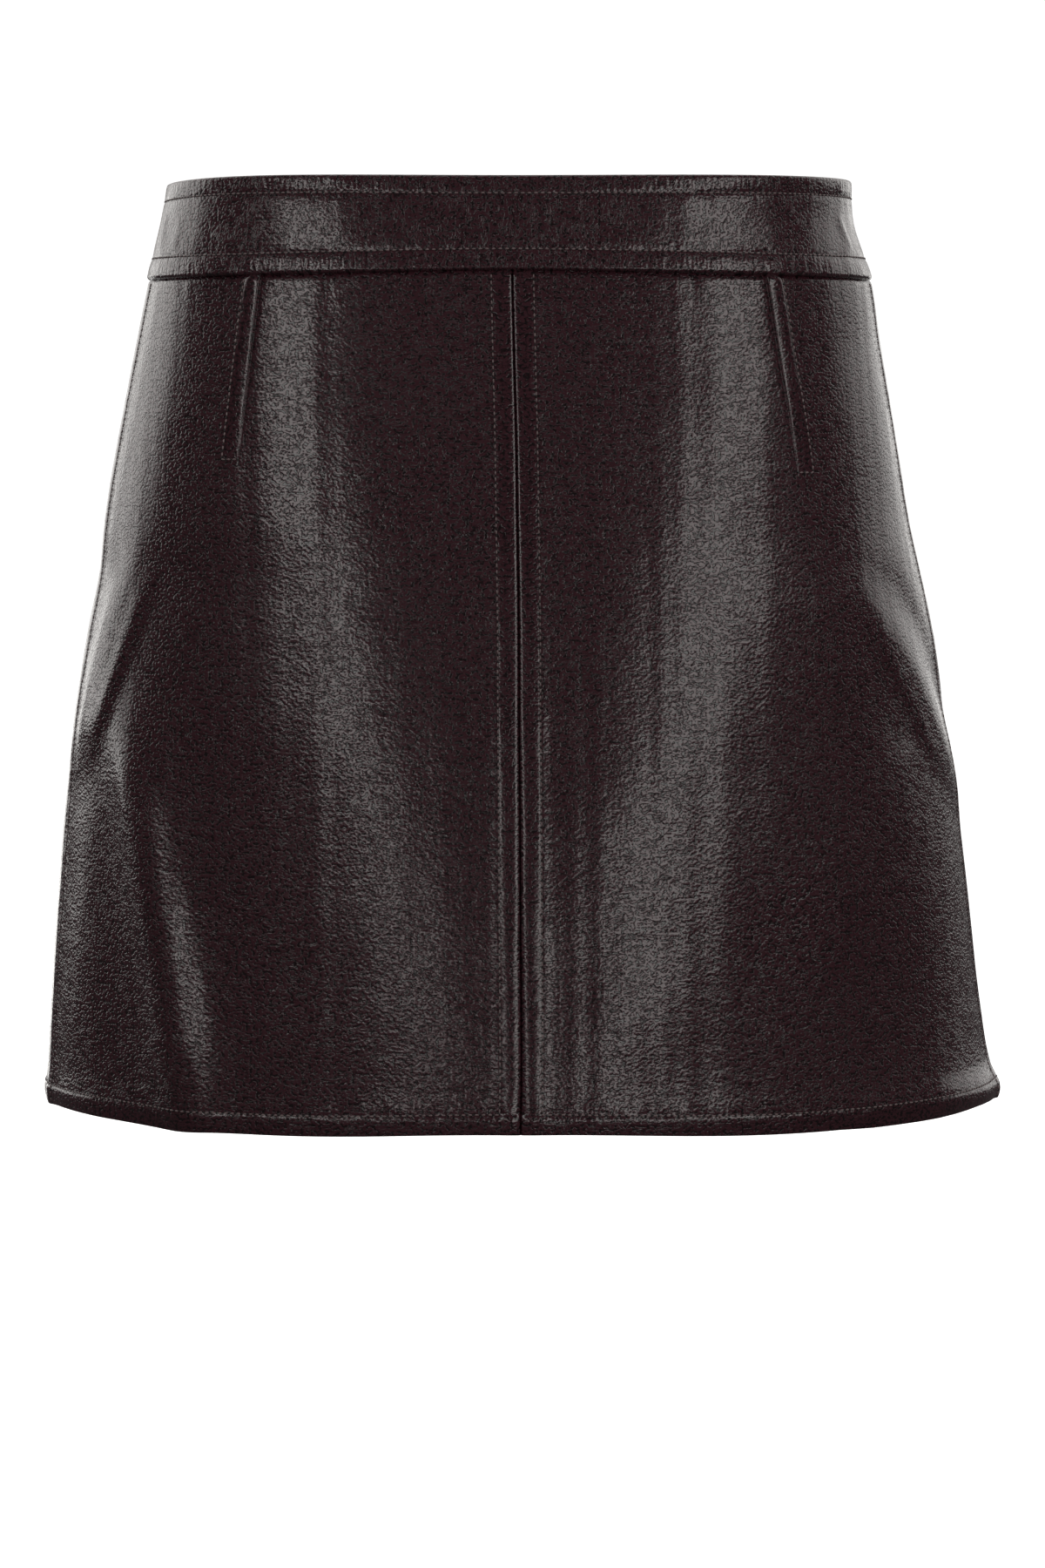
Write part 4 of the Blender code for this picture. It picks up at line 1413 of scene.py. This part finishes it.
@dataclass
class ZipHardware:
    """The slider and its pull, with the soft edges of cast and lacquered metal."""

    edge: float = 0.22
    flat: float = 2.0
    sharp: float = 35.0

    def make(self, node: bpy.types.Object, name: str, body: str, zinc: bpy.types.Material) -> bpy.types.Object:
        """Rounds a copy of a solid's mesh.

        Args:
            node: The solid's object.
            name: The piece's name.
            body: The body it rides on.
            zinc: Its material.

        Returns:
            The new object, which stands for the solid.
        """
        shape = bmesh.new()
        shape.from_mesh(node.data)
        bmesh.ops.remove_doubles(shape, verts=shape.verts[:], dist=1e-6)
        bmesh.ops.dissolve_limit(
            shape, angle_limit=math.radians(self.flat), verts=shape.verts[:], edges=shape.edges[:], delimit=set()
        )
        corners = [edge for edge in shape.edges if edge.calc_face_angle(0.0) > math.radians(self.sharp)]
        bmesh.ops.bevel(
            shape, geom=corners, offset=self.edge * MM, segments=2, profile=0.5, affect="EDGES", material=-1,
            clamp_overlap=True,
        )
        obj = add_object(name, shape, (zinc,))
        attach(obj, body)
        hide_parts(node.name)
        report(obj)
        return obj


@dataclass(frozen=True)
class Softbox:
    """A tall softbox that leans outwards and widens upwards, as the skirt sees it.

    Attributes:
        name: Its name.
        low_sides: The directions of its two sides at its foot, in degrees from the front and positive towards +X.
        high_sides: The same at its top.
        heights: Its foot and its top, in degrees above the horizon.
        brightness: The brightness of its face.
        distance: How far off it is, in metres.
    """

    name: str
    low_sides: tuple[float, float]
    high_sides: tuple[float, float]
    heights: tuple[float, float]
    brightness: float
    distance: float = 4.2


SOFTBOXES = (
    Softbox("softbox_front_left", (-6.0, -3.4), (-64.0, -42.0), (-10.0, 26.0), 3.6),
    Softbox("softbox_front_right", (4.6, 15.2), (41.5, 72.0), (-10.0, 26.0), 3.2),
    Softbox("softbox_side_left", (-136.0, -118.0), (-130.0, -103.0), (-1.0, 22.0), 2.4),
    Softbox("softbox_back_left", (-174.0, -166.0), (-141.0, -112.0), (-10.0, 26.0), 2.0),
    Softbox("softbox_back_right", (166.0, 174.0), (112.0, 141.0), (-2.0, 26.0), 1.5),
)


@dataclass
class Studio:
    """The camera, the soft lights and the pale floor that curves up into a backdrop."""

    camera_place: tuple[float, float, float] = (0.0053, -2.6, -0.0672)
    camera_pitch: float = 86.695
    lens: float = 152.05
    sensor: float = 36.0
    target: tuple[float, float, float] = (0.0, -0.1, -0.15)
    overhead_size: float = 2.4
    overhead_place: tuple[float, float, float] = (0.0, -0.4, 3.2)
    floor: float = -0.95
    backdrop_radius: float = 7.0
    backdrop_height: float = 4.5
    backdrop_corner: float = 1.6
    dim_room: tuple[float, float, float, float] = (0.07, 0.066, 0.066, 1.0)
    pale_room: tuple[float, float, float, float] = (1.25, 1.23, 1.2, 1.0)
    far_wall: tuple[float, float, float, float] = (0.5, 0.49, 0.48, 1.0)
    # Where the room turns pale: a direction, and how far towards it the change starts and ends. The first three
    # multiply, for the ceiling as each side sees it and for the back, and the last is the far wall.
    room_turns: tuple[tuple[tuple[float, float, float], float, float], ...] = (
        ((-0.45, 1.0, 6.0), 0.5, 0.95),
        ((0.25, 1.0, 6.0), 0.5, 0.95),
        ((0.0, 1.0, 0.0), 0.08, 0.3),
        ((0.0, 1.0, 0.0), 0.9, 1.0),
    )

    def add_camera(self) -> None:
        """Sets the camera where it sees the skirt from the front, a little from above its hem."""
        data = bpy.data.cameras.new("camera")
        data.sensor_fit = "VERTICAL"
        data.sensor_height = self.sensor
        data.lens = self.lens
        data.clip_start, data.clip_end = 0.05, 60.0
        camera = bpy.data.objects.new("camera", data)
        camera.location = self.camera_place
        camera.rotation_euler = (math.radians(self.camera_pitch), 0.0, 0.0)
        bpy.context.scene.collection.objects.link(camera)
        bpy.context.scene.camera = camera

    def add_softbox(self, softbox: Softbox) -> None:
        """Adds a softbox's glowing face, bent round the skirt."""
        shape = bmesh.new()
        bmesh.ops.create_grid(shape, x_segments=6, y_segments=8, size=0.5)
        for vertex in shape.verts:
            share = vertex.co.y + 0.5
            near, far = (blend(low, high, share) for low, high in zip(softbox.low_sides, softbox.high_sides))
            turn = math.radians(blend(near, far, vertex.co.x + 0.5))
            rise = math.radians(blend(*softbox.heights, share))
            out = Vector((math.sin(turn) * math.cos(rise), -math.cos(turn) * math.cos(rise), math.sin(rise)))
            vertex.co = Vector(self.target) + out * softbox.distance
        material = bpy.data.materials.new(softbox.name)
        material.use_nodes = True
        tree = material.node_tree
        tree.nodes.clear()
        glow = add_node(tree, "ShaderNodeEmission", {"Strength": softbox.brightness, "Color": linear("#fffdfa")})
        add_node(tree, "ShaderNodeOutputMaterial", {"Surface": glow})
        light = add_object(softbox.name, shape, (material,))
        light.visible_camera = False
        light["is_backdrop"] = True

    def add_overhead(self) -> None:
        """Adds a soft light overhead."""
        data = bpy.data.lights.new("overhead", "AREA")
        data.size = self.overhead_size
        data.energy = 1.2 * math.pi * data.size**2
        light = bpy.data.objects.new("overhead", data)
        light.location = self.overhead_place
        light.visible_camera = False
        bpy.context.scene.collection.objects.link(light)

    def add_surroundings(self) -> None:
        """A dim room in front and a pale one behind and above, as the gloss of the skirt mirrors them."""
        world = bpy.data.worlds.new("studio")
        world.use_nodes = True
        bpy.context.scene.world = world
        tree = world.node_tree
        direction = add_node(tree, "ShaderNodeTexCoord", out="Generated")
        shares = []
        for facing, low, high in self.room_turns:
            ends = {0: direction, 1: facing}
            towards = add_node(tree, "ShaderNodeVectorMath", ends, "Value", operation="DOT_PRODUCT")
            reach = {"Value": towards, "From Min": low, "From Max": high}
            shares.append(add_node(tree, "ShaderNodeMapRange", reach, interpolation_type="SMOOTHSTEP"))
        above = add_node(tree, "ShaderNodeMath", {0: shares[0], 1: shares[1]}, operation="MULTIPLY")
        behind = add_node(tree, "ShaderNodeMath", {0: above, 1: shares[2]}, operation="MULTIPLY")
        mix = partial(add_node, tree, "ShaderNodeMix", out=2, data_type="RGBA")
        pale = mix({0: shares[3], 6: self.pale_room, 7: self.far_wall})
        room = mix({0: behind, 6: self.dim_room, 7: pale})
        plug(tree, tree.nodes["Background"], {"Color": room})

    def add_backdrop(self) -> None:
        """The floor and the round backdrop, in one pale sheet with a curved corner."""
        shape = bmesh.new()
        corner, flat = self.backdrop_corner, self.backdrop_radius - self.backdrop_corner
        turns = [math.radians(90.0 * i / 12) for i in range(13)]
        profile = [(0.02, 0.0), *((flat + corner * math.sin(turn), corner - corner * math.cos(turn)) for turn in turns)]
        profile.append((self.backdrop_radius, self.backdrop_height))
        line = [shape.verts.new((out, 0.0, self.floor + up)) for out, up in profile]
        edges = [shape.edges.new(pair) for pair in zip(line, line[1:])]
        bmesh.ops.spin(
            shape, geom=line + edges, cent=(0.0, 0.0, 0.0), axis=(0.0, 0.0, 1.0), angle=math.tau, steps=64,
            use_merge=True,
        )
        material = bpy.data.materials.new("pale_paper")
        material.use_nodes = True
        paper = {"Base Color": "#f2f1ef", "Emission Color": "#ffffff"}
        look = {socket: linear(colour) for socket, colour in paper.items()} | {"Roughness": 0.9}
        plug(
            material.node_tree, material.node_tree.nodes["Principled BSDF"], look | {"Emission Strength": 0.92}
        )
        backdrop = add_object("backdrop", shape, (material,))
        backdrop.visible_glossy = backdrop.visible_diffuse = backdrop.visible_shadow = False
        backdrop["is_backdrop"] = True

    def set_up(self) -> None:
        """Builds the whole studio."""
        self.add_camera()
        for softbox in SOFTBOXES:
            self.add_softbox(softbox)
        self.add_overhead()
        self.add_surroundings()
        self.add_backdrop()
        bpy.context.scene.view_settings.view_transform = "Standard"


@dataclass
class Skirt:
    """The whole skirt, dressed piece by piece."""

    form: WornForm
    nodes: dict[str, bpy.types.Object]

    def make_vinyl(self) -> None:
        """Builds the waistband and the panels, each group with its sewing."""
        form, sides = self.form, tuple(Side)
        # The last material is the painted shade at the needle holes.
        film, knit, thread, hole = (
            finish.material() for finish in (GlossyVinyl(), KNIT_BACKING, SPUN_THREAD, NEEDLE_HOLE_SHADE)
        )
        groups = {
            "waistband": [FrontBand(form), *(BackBand(form, side) for side in sides)],
            "front": [FrontPanel(form, side) for side in sides],
            "back": [BackPanel(form, side) for side in sides],
        }
        for name, pieces in groups.items():
            for piece in pieces:
                piece.make(film, knit)
            Topstitching().make(f"topstitching_{name}", pieces, thread, hole)

    def make_zip(self) -> None:
        """Builds the zip's tapes, coil, slider and pull."""
        tape, nylon, zinc = (finish.material() for finish in (WOVEN_TAPE, MOULDED_NYLON, LACQUERED_ZINC))
        for side in Side:
            ZipTape(self.form, side).make(tape, tape)
        ZipCoil(self.form).make(nylon)
        for node, name, body in (("zip_slider", "cast_slider", "skirt"), ("zip_pull", "cast_pull", "pull")):
            ZipHardware().make(self.nodes[node], name, body, zinc)


def corners(box: tuple[Vector, Vector]) -> list[list[float]]:
    """A box's two corners as plain lists."""
    return [list(corner) for corner in box]


def main() -> None:
    """Builds the skirt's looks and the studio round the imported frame."""
    logging.basicConfig(level=logging.INFO, format="%(name)s: %(message)s")
    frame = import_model()
    solid_box = corners(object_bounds())
    skirt = Skirt(WornForm(SECTIONS, FOLDS, CREASES), frame["nodes"])
    skirt.make_vinyl()
    skirt.make_zip()
    Studio().set_up()
    bpy.context.view_layer.update()
    {"solids": solid_box, "looks": corners(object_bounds())}


if __name__ == "__main__":
    main()
